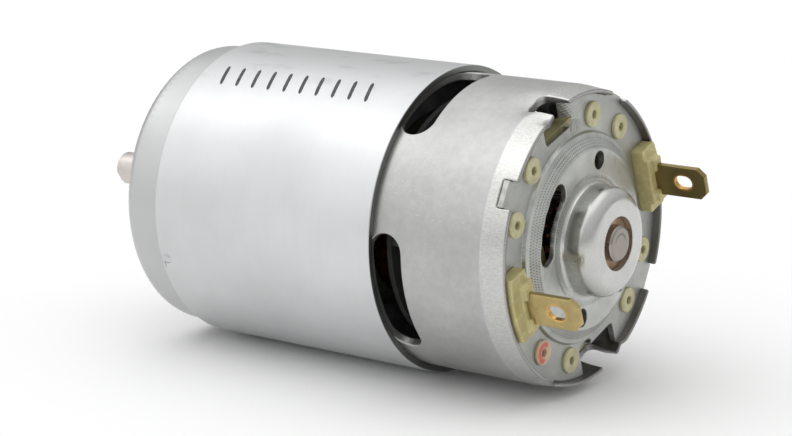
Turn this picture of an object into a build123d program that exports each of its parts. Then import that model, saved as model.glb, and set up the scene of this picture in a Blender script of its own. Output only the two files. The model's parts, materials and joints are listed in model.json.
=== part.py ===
from build123d import *
import math
import os

# A brushed direct-current motor with a 42 mm can, lying on its flux ring.
# Millimetres.  +X runs along the shaft, out of the front.  The origin is the centre
# of the front mounting face.  +Z is up.  Behind the mounting face, places are given
# as a depth: the distance forward of the rear rim, negative where a piece stands out
# of the rear.  Angles are degrees round the shaft as seen from the rear, from the
# right terminal (0, on the -Y side) over the top (90) to the left terminal (180).
# The pieces are made with the two terminals level and turned together at the end.

# ---- how it lies ----
LIE_ANGLE = 20.0  # the right terminal's tilt above level

# ---- can: a deep-drawn steel cup, open to the rear ----
BODY_LENGTH = 66.7  # mounting face to rear rim
CAN_RADIUS = 21.0
CAN_WALL = 1.2
CAN_CORNER = 2.0
LIP_LENGTH = 3.7  # the swaged cone at the rear rim
LIP_RADIUS = 20.75
LIP_EDGE = 0.3
SEAT_STEP = 0.2  # the end plate's seat, cut into the wall
FRONT_BOSS_RADIUS = 8.75
FRONT_BOSS_LENGTH = 4.5
FRONT_BOSS_EDGE = 0.5
BEARING_HOLE_RADIUS = 3.72  # in both bosses, where the shaft passes

# ---- openings in the can ----
SIDE_VENT_WIDTH = 5.2
SIDE_VENT_DEPTH = 19.05
SIDE_VENT_SPAN = 50.7  # degrees, end to end
SIDE_VENT_ANGLES = (0, 90, 180, 270)
RIM_NOTCH_WIDTH = 4.0
RIM_NOTCH_DEPTH = 1.5
RIM_NOTCH_OFFSET = 46.5  # degrees either side of each terminal
CRIMP_WIDTH = 4.2
CRIMP_DEPTH = 4.6
CRIMP_CORNER = 1.2
CRIMP_ANGLES = (90, 270)
FRONT_VENT_RADIUS = 12.6
FRONT_VENT_WIDTH = 3.6
FRONT_VENT_SPAN = 34.0
FRONT_VENT_ANGLES = (45, 135, 225, 315)
BOLT_CIRCLE = 29.0
BOLT_HOLE_RADIUS = 1.65
BOLT_ANGLES = (0, 180)

# ---- flux ring: a rolled sleeve round the can ----
RING_WALL = 1.0
RING_REAR = 20.96
RING_FRONT = 59.5
RING_EDGE = 0.2
RING_SEAM_GAP = 0.4
RING_SEAM_ANGLE = 310.0

# ---- shaft and bearings ----
SHAFT_RADIUS = 2.5
SHAFT_REAR = -5.3
SHAFT_REACH = 18.7  # in front of the mounting face
SHAFT_CHAMFER = 0.3
FLAT_CUT = 0.5
FLAT_LENGTH = 12.0
FLAT_ANGLE = 194.0
GROOVE_WIDTH = 1.0  # where the flat ends
GROOVE_CUT = 0.2
RUNNING_GAP = 0.03
REAR_BALL_RADIUS = 5.2
REAR_BUSH_LENGTH = 6.4
FRONT_BALL_RADIUS = 6.2
FRONT_BUSH_LENGTH = 7.5
RETAINER_THICKNESS = 0.35
RETAINER_SLOT_WIDTH = 0.8
RETAINER_SLOTS = 6
RETAINER_GRIP_ANGLE = 26.0  # how far past the ball's widest point it presses

# ---- end plate ----
PLATE_THICKNESS = 1.0
FLANGE_DEPTH = 1.1
DISC_DEPTH = -0.6
DISC_RADIUS = 12.6
CONE_FOOT_RADIUS = 14.2
REAR_BOSS_RADIUS = 7.65
REAR_BOSS_DEPTH = -5.03
REAR_BOSS_CORNER = 2.0
REAR_BOSS_ROOT = 0.6
CONE_TOP_EDGE = 0.4
CONE_FOOT_EDGE = 0.3
PEEP_HOLE_RADIUS = 1.28
PEEP_CIRCLE = 10.9
PEEP_ANGLES = (60, 240)
ARC_SLOT_CIRCLE = 10.95
ARC_SLOT_WIDTH = 3.3
ARC_SLOT_SPAN = 42.3  # between the centres of its round ends
ARC_SLOT_ANGLES = (139.35, 319.35)
PLATE_NOTCH_WIDTH = 7.2
PLATE_NOTCH_RADIUS = 16.0

# ---- brush holder: one nylon moulding, staked through the plate ----
HOLDER_THICKNESS = 2.0
HOLDER_RADIUS = 19.4
HOLDER_INNER = 13.4
STAKE_CIRCLE = 34.1
STAKE_RADIUS = 1.2
STAKE_HEAD_RADIUS = 1.83
STAKE_HEAD_HEIGHT = 0.55
STAKE_HEAD_EDGE = 0.22
STAKE_BORE_RADIUS = 0.6
STAKE_BORE_END = 0.5  # what is left of the holder under each stake's bore
STAKE_OFFSETS = (36, 62)  # degrees either side of each terminal
BLOCK_INWARD = 1.7  # how far each step reaches from the middle of the tab's thickness
RAISED_OUTWARD = 1.1
EAR_INWARD = 1.0
EAR_OUTWARD = 0.9
BLOCK_HALF_WIDTH = 4.85
BLOCK_DEPTH = -0.65
RAISED_HALF_WIDTH = 3.5
RAISED_DEPTH = -1.35
EAR_GAP = 1.5
EAR_HALF_WIDTH = 3.3
EAR_DEPTH = -1.95
PAD_HALF_WIDTH = 2.6
PAD_INNER = 7.0
CHEEK_THICKNESS = 1.2
CHEEK_HEIGHT = 4.0

# ---- terminals ----
TAB_RADIUS = 17.5  # to the middle of its thickness
TAB_THICKNESS = 0.8
TAB_WIDTH = 4.8
TAB_DEPTH = -9.3
TAB_CHAMFER = 1.05
TAB_HOLE_DEPTH = -5.75
TAB_HOLE_LENGTH = 2.7
TAB_HOLE_WIDTH = 2.1
TAB_SHOULDER_DEPTH = 3.0
LEG_WIDTH = 3.6
LEG_DEPTH = 13.9

# ---- brush gear ----
BRUSH_LENGTH = 6.0
BRUSH_WIDTH = 4.0
BRUSH_HEIGHT = 5.0  # along the shaft
BRUSH_DEPTH = 8.0
BRUSH_GAP = 0.05
BOX_WALL = 0.5
BOX_INNER = 6.9
SLOT_WIDTH = 1.6
PIGTAIL_RADIUS = 0.5
PIGTAIL_PLACE = 0.85  # of the brush's length, from the commutator
PIGTAIL_DEPTH = 13.2
PIGTAIL_BEND = 2.2
BRUSH_TRAVEL = 1.2
SPRING_WIRE_RADIUS = 0.2
SPRING_RADIUS = 1.45
SPRING_TURNS = 6
FIT = 0.05  # between pieces of one body that are assembled by hand
SEAT = 0.02  # between pieces of one body that are pressed together

# ---- commutator ----
COMMUTATOR_RADIUS = 5.5
COMMUTATOR_REAR = 3.4
COMMUTATOR_FRONT = 13.0
COMMUTATOR_BARS = 5
BAR_THICKNESS = 1.3
BAR_GAP = 0.6
HOOK_RADIUS = 6.7
HOOK_LENGTH = 1.0
HOOK_SPAN = 22.0
BASE_FLANGE = 1.0

# ---- fan ----
FAN_HUB_RADIUS = 6.5
FAN_RADIUS = 17.8
FAN_REAR = 15.2
FAN_FRONT = 21.0
FAN_DISC = 0.8
FAN_BLADES = 9
FAN_BLADE_THICKNESS = 0.9
FAN_BLADE_INSET = 0.2  # from the disc's rim

# ---- armature ----
CORE_RADIUS = 15.0
CORE_REAR = 28.0
CORE_FRONT = 54.0
POLES = 5
NECK_WIDTH = 6.0
CORE_HUB_RADIUS = 6.0
SHOE_THICKNESS = 2.1
SLOT_MOUTH = 2.4
INSULATOR_THICKNESS = 0.5
COIL_GAP = 0.3
COIL_OVERHANG = 5.2
COIL_INNER = 6.5
COIL_EDGE = 2.0  # rounding of the end turns
WASHER_THICKNESS = 0.7
WASHER_RADIUS = 4.2
END_PLAY = 0.15
SPACER_RADIUS = 4.0

# ---- magnets ----
AIR_GAP = 0.6
MAGNET_REAR = 25.0
MAGNET_FRONT = 58.0
MAGNET_SPAN = 132.0
CLIP_THICKNESS = 0.6
CLIP_INSET = 4.0
CLIP_LEG_INNER = 16.4

# ---- cutting tools ----
PAST = 1.0  # how far a tool passes the face that it cuts
JOIN = 0.5  # how far a piece of a solid runs into the one that it grows from

# ---- worked out from the above ----
CAN_BORE = CAN_RADIUS - CAN_WALL
SEAT_BORE = CAN_BORE + SEAT_STEP
SEAT_DEPTH = FLANGE_DEPTH + PLATE_THICKNESS
REAR_BOSS_BORE = REAR_BOSS_RADIUS - PLATE_THICKNESS
FRONT_BOSS_BORE = FRONT_BOSS_RADIUS - CAN_WALL
REAR_BUSH_DEPTH = REAR_BOSS_DEPTH + PLATE_THICKNESS + REAR_BUSH_LENGTH / 2
FRONT_BUSH_X = FRONT_BOSS_LENGTH - CAN_WALL - FRONT_BUSH_LENGTH / 2
BLOCK_INNER = TAB_RADIUS - BLOCK_INWARD
RAISED_OUTER = TAB_RADIUS + RAISED_OUTWARD
EAR_INNER = TAB_RADIUS - EAR_INWARD
EAR_OUTER = TAB_RADIUS + EAR_OUTWARD
BOX_REAR = BRUSH_DEPTH - BRUSH_HEIGHT / 2 - FIT - BOX_WALL
BOX_FRONT = BRUSH_DEPTH + BRUSH_HEIGHT / 2 + FIT + BOX_WALL
BOX_HALF_WIDTH = BRUSH_WIDTH / 2 + FIT + BOX_WALL
BOX_OUTER = TAB_RADIUS - TAB_THICKNESS / 2
BRUSH_INNER = COMMUTATOR_RADIUS + BRUSH_GAP
BRUSH_OUTER = BRUSH_INNER + BRUSH_LENGTH
PIGTAIL_RADIUS_OUT = BRUSH_INNER + PIGTAIL_PLACE * BRUSH_LENGTH
MAGNET_BORE = CORE_RADIUS + AIR_GAP
MAGNET_OUTER = CAN_BORE - FIT
SHAFT_BORE = SHAFT_RADIUS + SEAT
PITCH = 360 / POLES


# ---- shared shapes ----
def depth(distance):
    """The X of a place that far forward of the rear rim."""
    return distance - BODY_LENGTH


def turned(*corners):
    """A solid turned about the shaft from its section's corners: x, radius, rounding."""
    points = [(x, radius) for x, radius, _ in corners]
    rounding = [edge for _, _, edge in corners]
    outline = FilletPolyline(*points, radius=rounding, close=True)
    return revolve(make_face(outline), Axis.X)


def sleeve(x0, x1, inner, outer):
    """A plain tube along the shaft."""
    return turned((x0, inner, 0), (x1, inner, 0), (x1, outer, 0), (x0, outer, 0))


def rod(x0, x1, radius):
    """A plain cylinder along the shaft."""
    align = (Align.CENTER, Align.CENTER, Align.MIN)
    return Pos(x0, 0, 0) * Rot(Y=90) * Cylinder(radius, x1 - x0, align=align)


def block(x0, x1, inner, outer, side0, side1):
    """A box at angle 0, on the -Y side: its reach from the shaft is inner to outer."""
    middle = Pos((x0 + x1) / 2, -(inner + outer) / 2, (side0 + side1) / 2)
    return middle * Box(x1 - x0, outer - inner, side1 - side0)


def at_angle(shape, angle):
    """A shape made at angle 0, moved round the shaft."""
    return Rot(X=-angle) * shape


def sector(x0, x1, inner, outer, centre, span):
    """A piece of a tube, span degrees wide."""
    section = make_face(Polyline((x0, inner), (x1, inner), (x1, outer), (x0, outer), close=True))
    start = 180 - centre - span / 2
    return Rot(X=start) * revolve(section, Axis.X, revolution_arc=span)


def radial_pin(x, inner, outer, radius, angle):
    """A cylinder that points away from the shaft."""
    align = (Align.CENTER, Align.CENTER, Align.MIN)
    pin = Pos(x, -inner, 0) * Rot(X=90) * Cylinder(radius, outer - inner, align=align)
    return at_angle(pin, angle)


def axial_pin(x0, x1, circle_radius, radius, angle):
    """A cylinder beside the shaft and parallel to it."""
    return at_angle(Pos(0, -circle_radius, 0) * rod(x0, x1, radius), angle)


def cut(solid, tools):
    """The solid with each tool taken out of it."""
    for tool in tools:
        solid = solid - tool
    return solid


def arc_slot(x0, x1, circle_radius, width, centre, span):
    """A curved slot through a face, span degrees between its round ends' centres."""
    half = width / 2
    slot = sector(x0, x1, circle_radius - half, circle_radius + half, centre, span)
    for side in (-1, 1):
        slot = slot + axial_pin(x0, x1, circle_radius, half, centre + side * span / 2)
    return slot


def side_vent(angle):
    """A window with round ends through the can's wall."""
    half = SIDE_VENT_WIDTH / 2
    end_angle = SIDE_VENT_SPAN / 2 - math.degrees(math.asin(half / CAN_RADIUS))
    x = depth(SIDE_VENT_DEPTH)
    inner = CAN_BORE - PAST
    outer = CAN_RADIUS + PAST
    window = sector(x - half, x + half, inner, outer, angle, 2 * end_angle)
    for side in (-1, 1):
        window = window + radial_pin(x, inner, outer, half, angle + side * end_angle)
    return window


def both_sides(offsets):
    """The angles that lie each offset either side of each terminal."""
    steps = [side * offset for offset in offsets for side in (-1, 1)]
    return [middle + step for middle in (0, 180) for step in steps]


# ---- the can and its ring ----
def can():
    """The drawn cup, with its vents, bolt holes, rim notches and crimps."""
    rim = depth(0)
    face = FRONT_BOSS_LENGTH
    shell = turned(
        (face, BEARING_HOLE_RADIUS, 0),
        (face, FRONT_BOSS_RADIUS, FRONT_BOSS_EDGE),
        (0, FRONT_BOSS_RADIUS, FRONT_BOSS_EDGE),
        (0, CAN_RADIUS, CAN_CORNER),
        (depth(LIP_LENGTH), CAN_RADIUS, 0),
        (rim, LIP_RADIUS, LIP_EDGE),
        (rim, SEAT_BORE, 0),
        (depth(SEAT_DEPTH), SEAT_BORE, 0),
        (depth(SEAT_DEPTH), CAN_BORE, 0),
        (-CAN_WALL, CAN_BORE, CAN_CORNER - CAN_WALL),
        (-CAN_WALL, FRONT_BOSS_BORE, 0),
        (face - CAN_WALL, FRONT_BOSS_BORE, FRONT_BOSS_EDGE),
        (face - CAN_WALL, BEARING_HOLE_RADIUS, 0),
    )
    inner = CAN_BORE - PAST
    outer = CAN_RADIUS + PAST
    half = RIM_NOTCH_WIDTH / 2
    notch = block(rim - PAST, depth(RIM_NOTCH_DEPTH), inner, outer, -half, half)
    half = CRIMP_WIDTH / 2
    crimp = block(rim - PAST, depth(CRIMP_DEPTH), inner, outer, -half, half)
    crimp = fillet(crimp.edges().filter_by(Axis.Y).group_by(Axis.X)[-1], CRIMP_CORNER)
    tools = [at_angle(notch, angle) for angle in both_sides((RIM_NOTCH_OFFSET,))]
    tools += [at_angle(crimp, angle) for angle in CRIMP_ANGLES]
    tools += [side_vent(angle) for angle in SIDE_VENT_ANGLES]
    x0 = -CAN_WALL - PAST
    for angle in BOLT_ANGLES:
        tools.append(axial_pin(x0, PAST, BOLT_CIRCLE / 2, BOLT_HOLE_RADIUS, angle))
    for angle in FRONT_VENT_ANGLES:
        tools.append(arc_slot(x0, PAST, FRONT_VENT_RADIUS, FRONT_VENT_WIDTH, angle, FRONT_VENT_SPAN))
    return cut(shell, tools)


def flux_ring():
    """A rolled steel sleeve with a butt seam."""
    inner = CAN_RADIUS + SEAT
    outer = inner + RING_WALL
    ring = turned(
        (depth(RING_REAR), inner, 0),
        (depth(RING_FRONT), inner, 0),
        (depth(RING_FRONT), outer, RING_EDGE),
        (depth(RING_REAR), outer, RING_EDGE),
    )
    half = RING_SEAM_GAP / 2
    x0 = depth(RING_REAR) - PAST
    x1 = depth(RING_FRONT) + PAST
    seam = block(x0, x1, CAN_RADIUS - PAST, outer + PAST, -half, half)
    return ring - at_angle(seam, RING_SEAM_ANGLE)


# ---- bearings ----
def bush(ball_radius, length, x):
    """A ball-shaped bronze bush, cut flat at both ends."""
    ball = Sphere(ball_radius) & rod(-length / 2, length / 2, ball_radius + PAST)
    return Pos(x, 0, 0) * (ball - rod(-length, length, SHAFT_RADIUS + RUNNING_GAP))


def bush_retainer(ball_radius, bore, x, inward):
    """A dished spring washer.  It grips the boss's bore and presses on the ball from inside."""
    grip = math.radians(RETAINER_GRIP_ANGLE)
    reach = ball_radius + FIT
    tip_x = x + inward * reach * math.sin(grip)
    tip_radius = reach * math.cos(grip)
    rim_x = x + inward * reach * math.sin(grip / 3)
    thick = inward * RETAINER_THICKNESS
    washer = turned(
        (rim_x, bore - FIT, 0),
        (tip_x, tip_radius, 0),
        (tip_x + thick, tip_radius, 0),
        (rim_x + thick, bore - FIT, 0),
    )
    low = min(rim_x, tip_x) - RETAINER_THICKNESS - PAST
    high = max(rim_x, tip_x) + RETAINER_THICKNESS + PAST
    half = RETAINER_SLOT_WIDTH / 2
    slot = block(low, high, 0, (tip_radius + bore) / 2, -half, half)
    step = 360 / RETAINER_SLOTS
    return cut(washer, [at_angle(slot, step * number) for number in range(RETAINER_SLOTS)])


# ---- end plate ----
def rear_plate():
    """The pressed end plate with the rear bearing's boss."""
    edge = SEAT_BORE - FIT
    lean = (CONE_FOOT_RADIUS - DISC_RADIUS) / (FLANGE_DEPTH - DISC_DEPTH)
    inner_step = PLATE_THICKNESS * lean / 2
    boss_top = depth(REAR_BOSS_DEPTH + PLATE_THICKNESS)
    plate = turned(
        (depth(REAR_BOSS_DEPTH), BEARING_HOLE_RADIUS, 0),
        (depth(REAR_BOSS_DEPTH), REAR_BOSS_RADIUS, REAR_BOSS_CORNER),
        (depth(DISC_DEPTH), REAR_BOSS_RADIUS, REAR_BOSS_ROOT),
        (depth(DISC_DEPTH), DISC_RADIUS, CONE_TOP_EDGE),
        (depth(FLANGE_DEPTH), CONE_FOOT_RADIUS, CONE_FOOT_EDGE),
        (depth(FLANGE_DEPTH), edge, 0),
        (depth(SEAT_DEPTH), edge, 0),
        (depth(SEAT_DEPTH), CONE_FOOT_RADIUS - inner_step, 0),
        (depth(DISC_DEPTH + PLATE_THICKNESS), DISC_RADIUS - inner_step, 0),
        (depth(DISC_DEPTH + PLATE_THICKNESS), REAR_BOSS_BORE, 0),
        (boss_top, REAR_BOSS_BORE, REAR_BOSS_CORNER - PLATE_THICKNESS),
        (boss_top, BEARING_HOLE_RADIUS, 0),
    )
    x0 = depth(DISC_DEPTH) - PAST
    x1 = depth(SEAT_DEPTH) + PAST
    window = BLOCK_HALF_WIDTH + FIT
    tools = [axial_pin(x0, x1, PEEP_CIRCLE, PEEP_HOLE_RADIUS, angle) for angle in PEEP_ANGLES]
    for angle in ARC_SLOT_ANGLES:
        tools.append(arc_slot(x0, x1, ARC_SLOT_CIRCLE, ARC_SLOT_WIDTH, angle, ARC_SLOT_SPAN))
    for angle in both_sides(STAKE_OFFSETS):
        tools.append(axial_pin(x0, x1, STAKE_CIRCLE / 2, STAKE_RADIUS + FIT, angle))
    for angle in (0, 180):
        tools.append(at_angle(block(x0, x1, BLOCK_INNER - FIT, CAN_RADIUS, -window, window), angle))
    half = PLATE_NOTCH_WIDTH / 2
    for angle in CRIMP_ANGLES:
        tools.append(at_angle(block(x0, x1, PLATE_NOTCH_RADIUS, CAN_RADIUS, -half, half), angle))
    return cut(plate, tools)


# ---- brush holder ----
def stake(angle):
    """A tubular stake with its head spread on the plate."""
    head_x = depth(FLANGE_DEPTH)
    head = turned(
        (head_x - STAKE_HEAD_HEIGHT, STAKE_BORE_RADIUS, 0),
        (head_x, STAKE_BORE_RADIUS, 0),
        (head_x, STAKE_HEAD_RADIUS, 0),
        (head_x - STAKE_HEAD_HEIGHT, STAKE_HEAD_RADIUS, STAKE_HEAD_EDGE),
    )
    stem = sleeve(head_x, depth(SEAT_DEPTH), STAKE_BORE_RADIUS, STAKE_RADIUS)
    return at_angle(Pos(0, -STAKE_CIRCLE / 2, 0) * (head + stem), angle)


def terminal_block():
    """The stepped block that stands through the plate round a terminal, at angle 0."""
    top = depth(BLOCK_DEPTH)
    step = depth(RAISED_DEPTH)
    foot = depth(SEAT_DEPTH)
    wide = BLOCK_HALF_WIDTH
    base = block(top, foot, BLOCK_INNER, SEAT_BORE, -wide, wide)
    base = base & rod(top - PAST, foot + PAST, SEAT_BORE - 2 * FIT)
    wide = RAISED_HALF_WIDTH
    body = base + block(step, top, BLOCK_INNER, RAISED_OUTER, -wide, wide)
    for side in (-1, 1):
        ends = sorted((side * EAR_GAP, side * EAR_HALF_WIDTH))
        body = body + block(depth(EAR_DEPTH), step, EAR_INNER, EAR_OUTER, *ends)
    return body


def brush_holder():
    """A flat ring behind the plate, two terminal blocks, eight stakes and two brush seats."""
    x0 = depth(SEAT_DEPTH)
    x1 = x0 + HOLDER_THICKNESS
    pad_x = depth(BOX_REAR)
    holder = sleeve(x0, x1, HOLDER_INNER, HOLDER_RADIUS)
    wide = BLOCK_HALF_WIDTH
    cheek0 = BOX_HALF_WIDTH + FIT
    cheek1 = cheek0 + CHEEK_THICKNESS
    side = block(x0, pad_x, HOLDER_INNER, HOLDER_RADIUS, -wide, wide) & rod(x0, pad_x, HOLDER_RADIUS)
    half = PAD_HALF_WIDTH
    side = side + block(x0, pad_x, PAD_INNER, HOLDER_INNER + JOIN, -half, half)
    side = side + terminal_block()
    cheek = block(pad_x - JOIN, pad_x + CHEEK_HEIGHT, HOLDER_INNER + FIT, BOX_OUTER, cheek0, cheek1)
    side = side + cheek + mirror(cheek, Plane.XY)
    inner = TAB_RADIUS - TAB_THICKNESS / 2 - SEAT
    outer = TAB_RADIUS + TAB_THICKNESS / 2 + SEAT
    tab = TAB_WIDTH / 2 + SEAT
    leg = LEG_WIDTH / 2 + SEAT
    shoulder = depth(TAB_SHOULDER_DEPTH)
    side = side - block(depth(EAR_DEPTH) - PAST, shoulder, inner, outer, -tab, tab)
    side = side - block(shoulder - PAST, pad_x + PAST, inner, outer, -leg, leg)
    opening = block(x0 - PAST, x1 + PAST, HOLDER_INNER - PAST, HOLDER_RADIUS + PAST, -wide, wide)
    for angle in (0, 180):
        holder = holder - at_angle(opening, angle) + at_angle(side, angle)
    for angle in both_sides(STAKE_OFFSETS):
        bore = axial_pin(x0, x1 - STAKE_BORE_END, STAKE_CIRCLE / 2, STAKE_BORE_RADIUS, angle)
        holder = holder - bore + stake(angle)
    return holder


# ---- terminals ----
def terminal(angle):
    """A brass tab outside, with a shoulder and a narrower leg inside."""
    inner = TAB_RADIUS - TAB_THICKNESS / 2
    outer = TAB_RADIUS + TAB_THICKNESS / 2
    shoulder = depth(TAB_SHOULDER_DEPTH)
    half = TAB_WIDTH / 2
    tab = block(depth(TAB_DEPTH), shoulder, inner, outer, -half, half)
    tab = chamfer(tab.edges().filter_by(Axis.Y).group_by(Axis.X)[0], TAB_CHAMFER)
    half = LEG_WIDTH / 2
    tab = tab + block(shoulder, depth(LEG_DEPTH), inner, outer, -half, half)
    half = TAB_HOLE_WIDTH / 2
    reach = TAB_HOLE_LENGTH / 2 - half
    middle = depth(TAB_HOLE_DEPTH)
    slot = block(middle - reach, middle + reach, inner - PAST, outer + PAST, -half, half)
    for end in (-reach, reach):
        slot = slot + radial_pin(middle + end, inner - PAST, outer + PAST, half, 0)
    return at_angle(tab - slot, angle)


# ---- brush gear, each at angle 0 and then moved ----
def brush_box(angle):
    """A folded brass tube, closed at its outer end, with a slot for the pigtail."""
    wide = BOX_HALF_WIDTH
    box = block(depth(BOX_REAR), depth(BOX_FRONT), BOX_INNER, BOX_OUTER, -wide, wide)
    room = wide - BOX_WALL
    x0 = depth(BOX_REAR) + BOX_WALL
    x1 = depth(BOX_FRONT) - BOX_WALL
    box = box - block(x0, x1, BOX_INNER - PAST, BOX_OUTER - BOX_WALL, -room, room)
    half = SLOT_WIDTH / 2
    slot_outer = PIGTAIL_RADIUS_OUT + BRUSH_TRAVEL + half
    top = depth(BOX_FRONT) + PAST
    box = box - block(x1 - PAST, top, PIGTAIL_RADIUS_OUT - half, slot_outer, -half, half)
    return at_angle(box, angle)


def carbon_brush(angle):
    """A carbon block whose inner end is worn to the commutator's curve."""
    half = BRUSH_WIDTH / 2
    x0 = depth(BRUSH_DEPTH - BRUSH_HEIGHT / 2)
    x1 = depth(BRUSH_DEPTH + BRUSH_HEIGHT / 2)
    start = math.sqrt(BRUSH_INNER**2 - half**2) - PAST
    carbon = block(x0, x1, start, BRUSH_OUTER, -half, half)
    return at_angle(carbon - rod(x0 - PAST, x1 + PAST, BRUSH_INNER), angle)


def brush_spring(angle):
    """A coil spring between the brush and the closed end of its box."""
    room = BOX_OUTER - BOX_WALL - BRUSH_OUTER
    height = room - 2 * SPRING_WIRE_RADIUS - 2 * SEAT
    path = Helix(height / SPRING_TURNS, height, SPRING_RADIUS)
    section = Plane(origin=path @ 0, z_dir=path % 0) * Circle(SPRING_WIRE_RADIUS)
    coil = sweep(section, path, is_frenet=True)
    foot = BRUSH_OUTER + SPRING_WIRE_RADIUS + SEAT
    return at_angle(Pos(depth(BRUSH_DEPTH), -foot, 0) * Rot(X=90) * coil, angle)


def pigtail(angle):
    """A braided copper lead from the brush's side to the terminal's leg."""
    start = Vector(depth(BRUSH_DEPTH + BRUSH_HEIGHT / 2), -PIGTAIL_RADIUS_OUT, 0)
    corner = Vector(depth(PIGTAIL_DEPTH), -PIGTAIL_RADIUS_OUT, 0)
    end = Vector(depth(PIGTAIL_DEPTH), -BOX_OUTER, 0)
    path = FilletPolyline(start, corner, end, radius=PIGTAIL_BEND)
    section = Plane(origin=start, z_dir=(1, 0, 0)) * Circle(PIGTAIL_RADIUS)
    return at_angle(sweep(section, path), angle)


# ---- magnets ----
def magnet(angle):
    """A curved ferrite block with one pole on its inner face."""
    x0 = depth(MAGNET_REAR)
    x1 = depth(MAGNET_FRONT)
    return sector(x0, x1, MAGNET_BORE, MAGNET_OUTER, angle, MAGNET_SPAN)


def magnet_clip(angle):
    """A U-shaped spring that wedges the two magnets apart against the can's wall."""
    x0 = depth(MAGNET_REAR + CLIP_INSET)
    x1 = depth(MAGNET_FRONT - CLIP_INSET)
    slack = math.degrees(FIT / CLIP_LEG_INNER)
    span = 180 - MAGNET_SPAN - 2 * slack
    leg_span = math.degrees(CLIP_THICKNESS / CLIP_LEG_INNER)
    clip = sector(x0, x1, MAGNET_OUTER - CLIP_THICKNESS, MAGNET_OUTER, angle, span)
    for side in (-1, 1):
        centre = angle + side * (span - leg_span) / 2
        clip = clip + sector(x0, x1, CLIP_LEG_INNER, MAGNET_OUTER, centre, leg_span)
    return clip


# ---- rotor ----
def shaft():
    """A ground steel shaft with a driving flat that ends in a groove."""
    body = chamfer(rod(depth(SHAFT_REAR), SHAFT_REACH, SHAFT_RADIUS).edges(), SHAFT_CHAMFER)
    side = SHAFT_RADIUS + PAST
    inner = SHAFT_RADIUS - FLAT_CUT
    flat_x = SHAFT_REACH - FLAT_LENGTH
    flat = block(flat_x, SHAFT_REACH + PAST, inner, side, -side, side)
    groove = sleeve(flat_x - GROOVE_WIDTH, flat_x, SHAFT_RADIUS - GROOVE_CUT, side)
    return body - at_angle(flat, FLAT_ANGLE) - groove


def lamination(x, thickness):
    """The armature's star-shaped section, made that thick from x."""
    star = Circle(CORE_HUB_RADIUS)
    for pole in range(POLES):
        turn = Rot(Z=PITCH * pole)
        neck = Rectangle(CORE_RADIUS - JOIN, NECK_WIDTH, align=(Align.MIN, Align.CENTER))
        star = star + turn * neck
    shoes = Circle(CORE_RADIUS) - Circle(CORE_RADIUS - SHOE_THICKNESS)
    for pole in range(POLES):
        turn = Rot(Z=PITCH * (pole + 0.5))
        shoes = shoes - turn * (Pos(CORE_RADIUS, 0) * Rectangle(3 * SHOE_THICKNESS, SLOT_MOUTH))
    section = (star + shoes) & Circle(CORE_RADIUS)
    section = section - Circle(SHAFT_BORE)
    return extrude(Plane(origin=(x, 0, 0), x_dir=(0, -1, 0), z_dir=(1, 0, 0)) * section, thickness)


def armature_core():
    return lamination(depth(CORE_REAR), CORE_FRONT - CORE_REAR)


def core_insulator(end):
    """A fibre sheet over one end of the lamination stack."""
    x = depth(CORE_FRONT) if end == "front" else depth(CORE_REAR) - INSULATOR_THICKNESS
    return lamination(x, INSULATOR_THICKNESS)


def coil(number):
    """Enamelled wire wound round one pole, shown as one bundle."""
    outer = CORE_RADIUS - SHOE_THICKNESS - COIL_GAP
    neck = NECK_WIDTH / 2 + COIL_GAP
    lean = math.tan(math.radians(PITCH / 2))
    narrow = COIL_INNER * lean - COIL_GAP
    wide = (outer + PAST) * lean - COIL_GAP
    x0 = depth(CORE_REAR) - COIL_OVERHANG
    x1 = depth(CORE_FRONT) + COIL_OVERHANG
    near = (-COIL_INNER, narrow)
    far = (-outer - PAST, wide)
    outline = Polyline((near[0], -near[1]), (far[0], -far[1]), far, near, close=True)
    inner = COIL_INNER - PAST
    drum = turned((x0, inner, 0), (x1, inner, 0), (x1, outer, COIL_EDGE), (x0, outer, COIL_EDGE))
    bundle = extrude(Plane.YZ.offset(x0) * make_face(outline), x1 - x0) & drum
    room = INSULATOR_THICKNESS + SEAT
    gap_x0 = depth(CORE_REAR) - room
    gap_x1 = depth(CORE_FRONT) + room
    room_for_core = block(gap_x0, gap_x1, inner, outer + PAST, -neck, neck)
    return at_angle(bundle - room_for_core, PITCH * number)


def commutator_base():
    """The phenolic sleeve under the copper bars."""
    top = COMMUTATOR_RADIUS - BAR_THICKNESS - SEAT
    x0 = depth(COMMUTATOR_REAR)
    x1 = depth(COMMUTATOR_FRONT)
    flange = sleeve(x1 + SEAT, x1 + BASE_FLANGE, SHAFT_BORE, COMMUTATOR_RADIUS)
    return sleeve(x0, x1 + SEAT, SHAFT_BORE, top) + flange


def commutator_bar(number):
    """A copper bar with a hook for the coil's wire."""
    centre = 360 / COMMUTATOR_BARS * (number + 0.5)
    span = 360 / COMMUTATOR_BARS - math.degrees(BAR_GAP / COMMUTATOR_RADIUS)
    inner = COMMUTATOR_RADIUS - BAR_THICKNESS
    x0 = depth(COMMUTATOR_REAR)
    x1 = depth(COMMUTATOR_FRONT)
    bar = sector(x0, x1, inner, COMMUTATOR_RADIUS, centre, span)
    return bar + sector(x1 - HOOK_LENGTH, x1, inner, HOOK_RADIUS, centre, HOOK_SPAN)


def fan():
    """A moulded fan: a hub, a back disc and straight blades."""
    x0 = depth(FAN_REAR)
    x1 = depth(FAN_FRONT)
    hub = sleeve(depth(COMMUTATOR_FRONT) + BASE_FLANGE + SEAT, x1, SHAFT_BORE, FAN_HUB_RADIUS)
    wheel = hub + sleeve(x1 - FAN_DISC, x1, SHAFT_BORE, FAN_RADIUS)
    half = FAN_BLADE_THICKNESS / 2
    for number in range(FAN_BLADES):
        blade = block(x0, x1, FAN_HUB_RADIUS - JOIN, FAN_RADIUS - FAN_BLADE_INSET, -half, half)
        wheel = wheel + at_angle(blade, 360 / FAN_BLADES * number)
    return wheel


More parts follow.
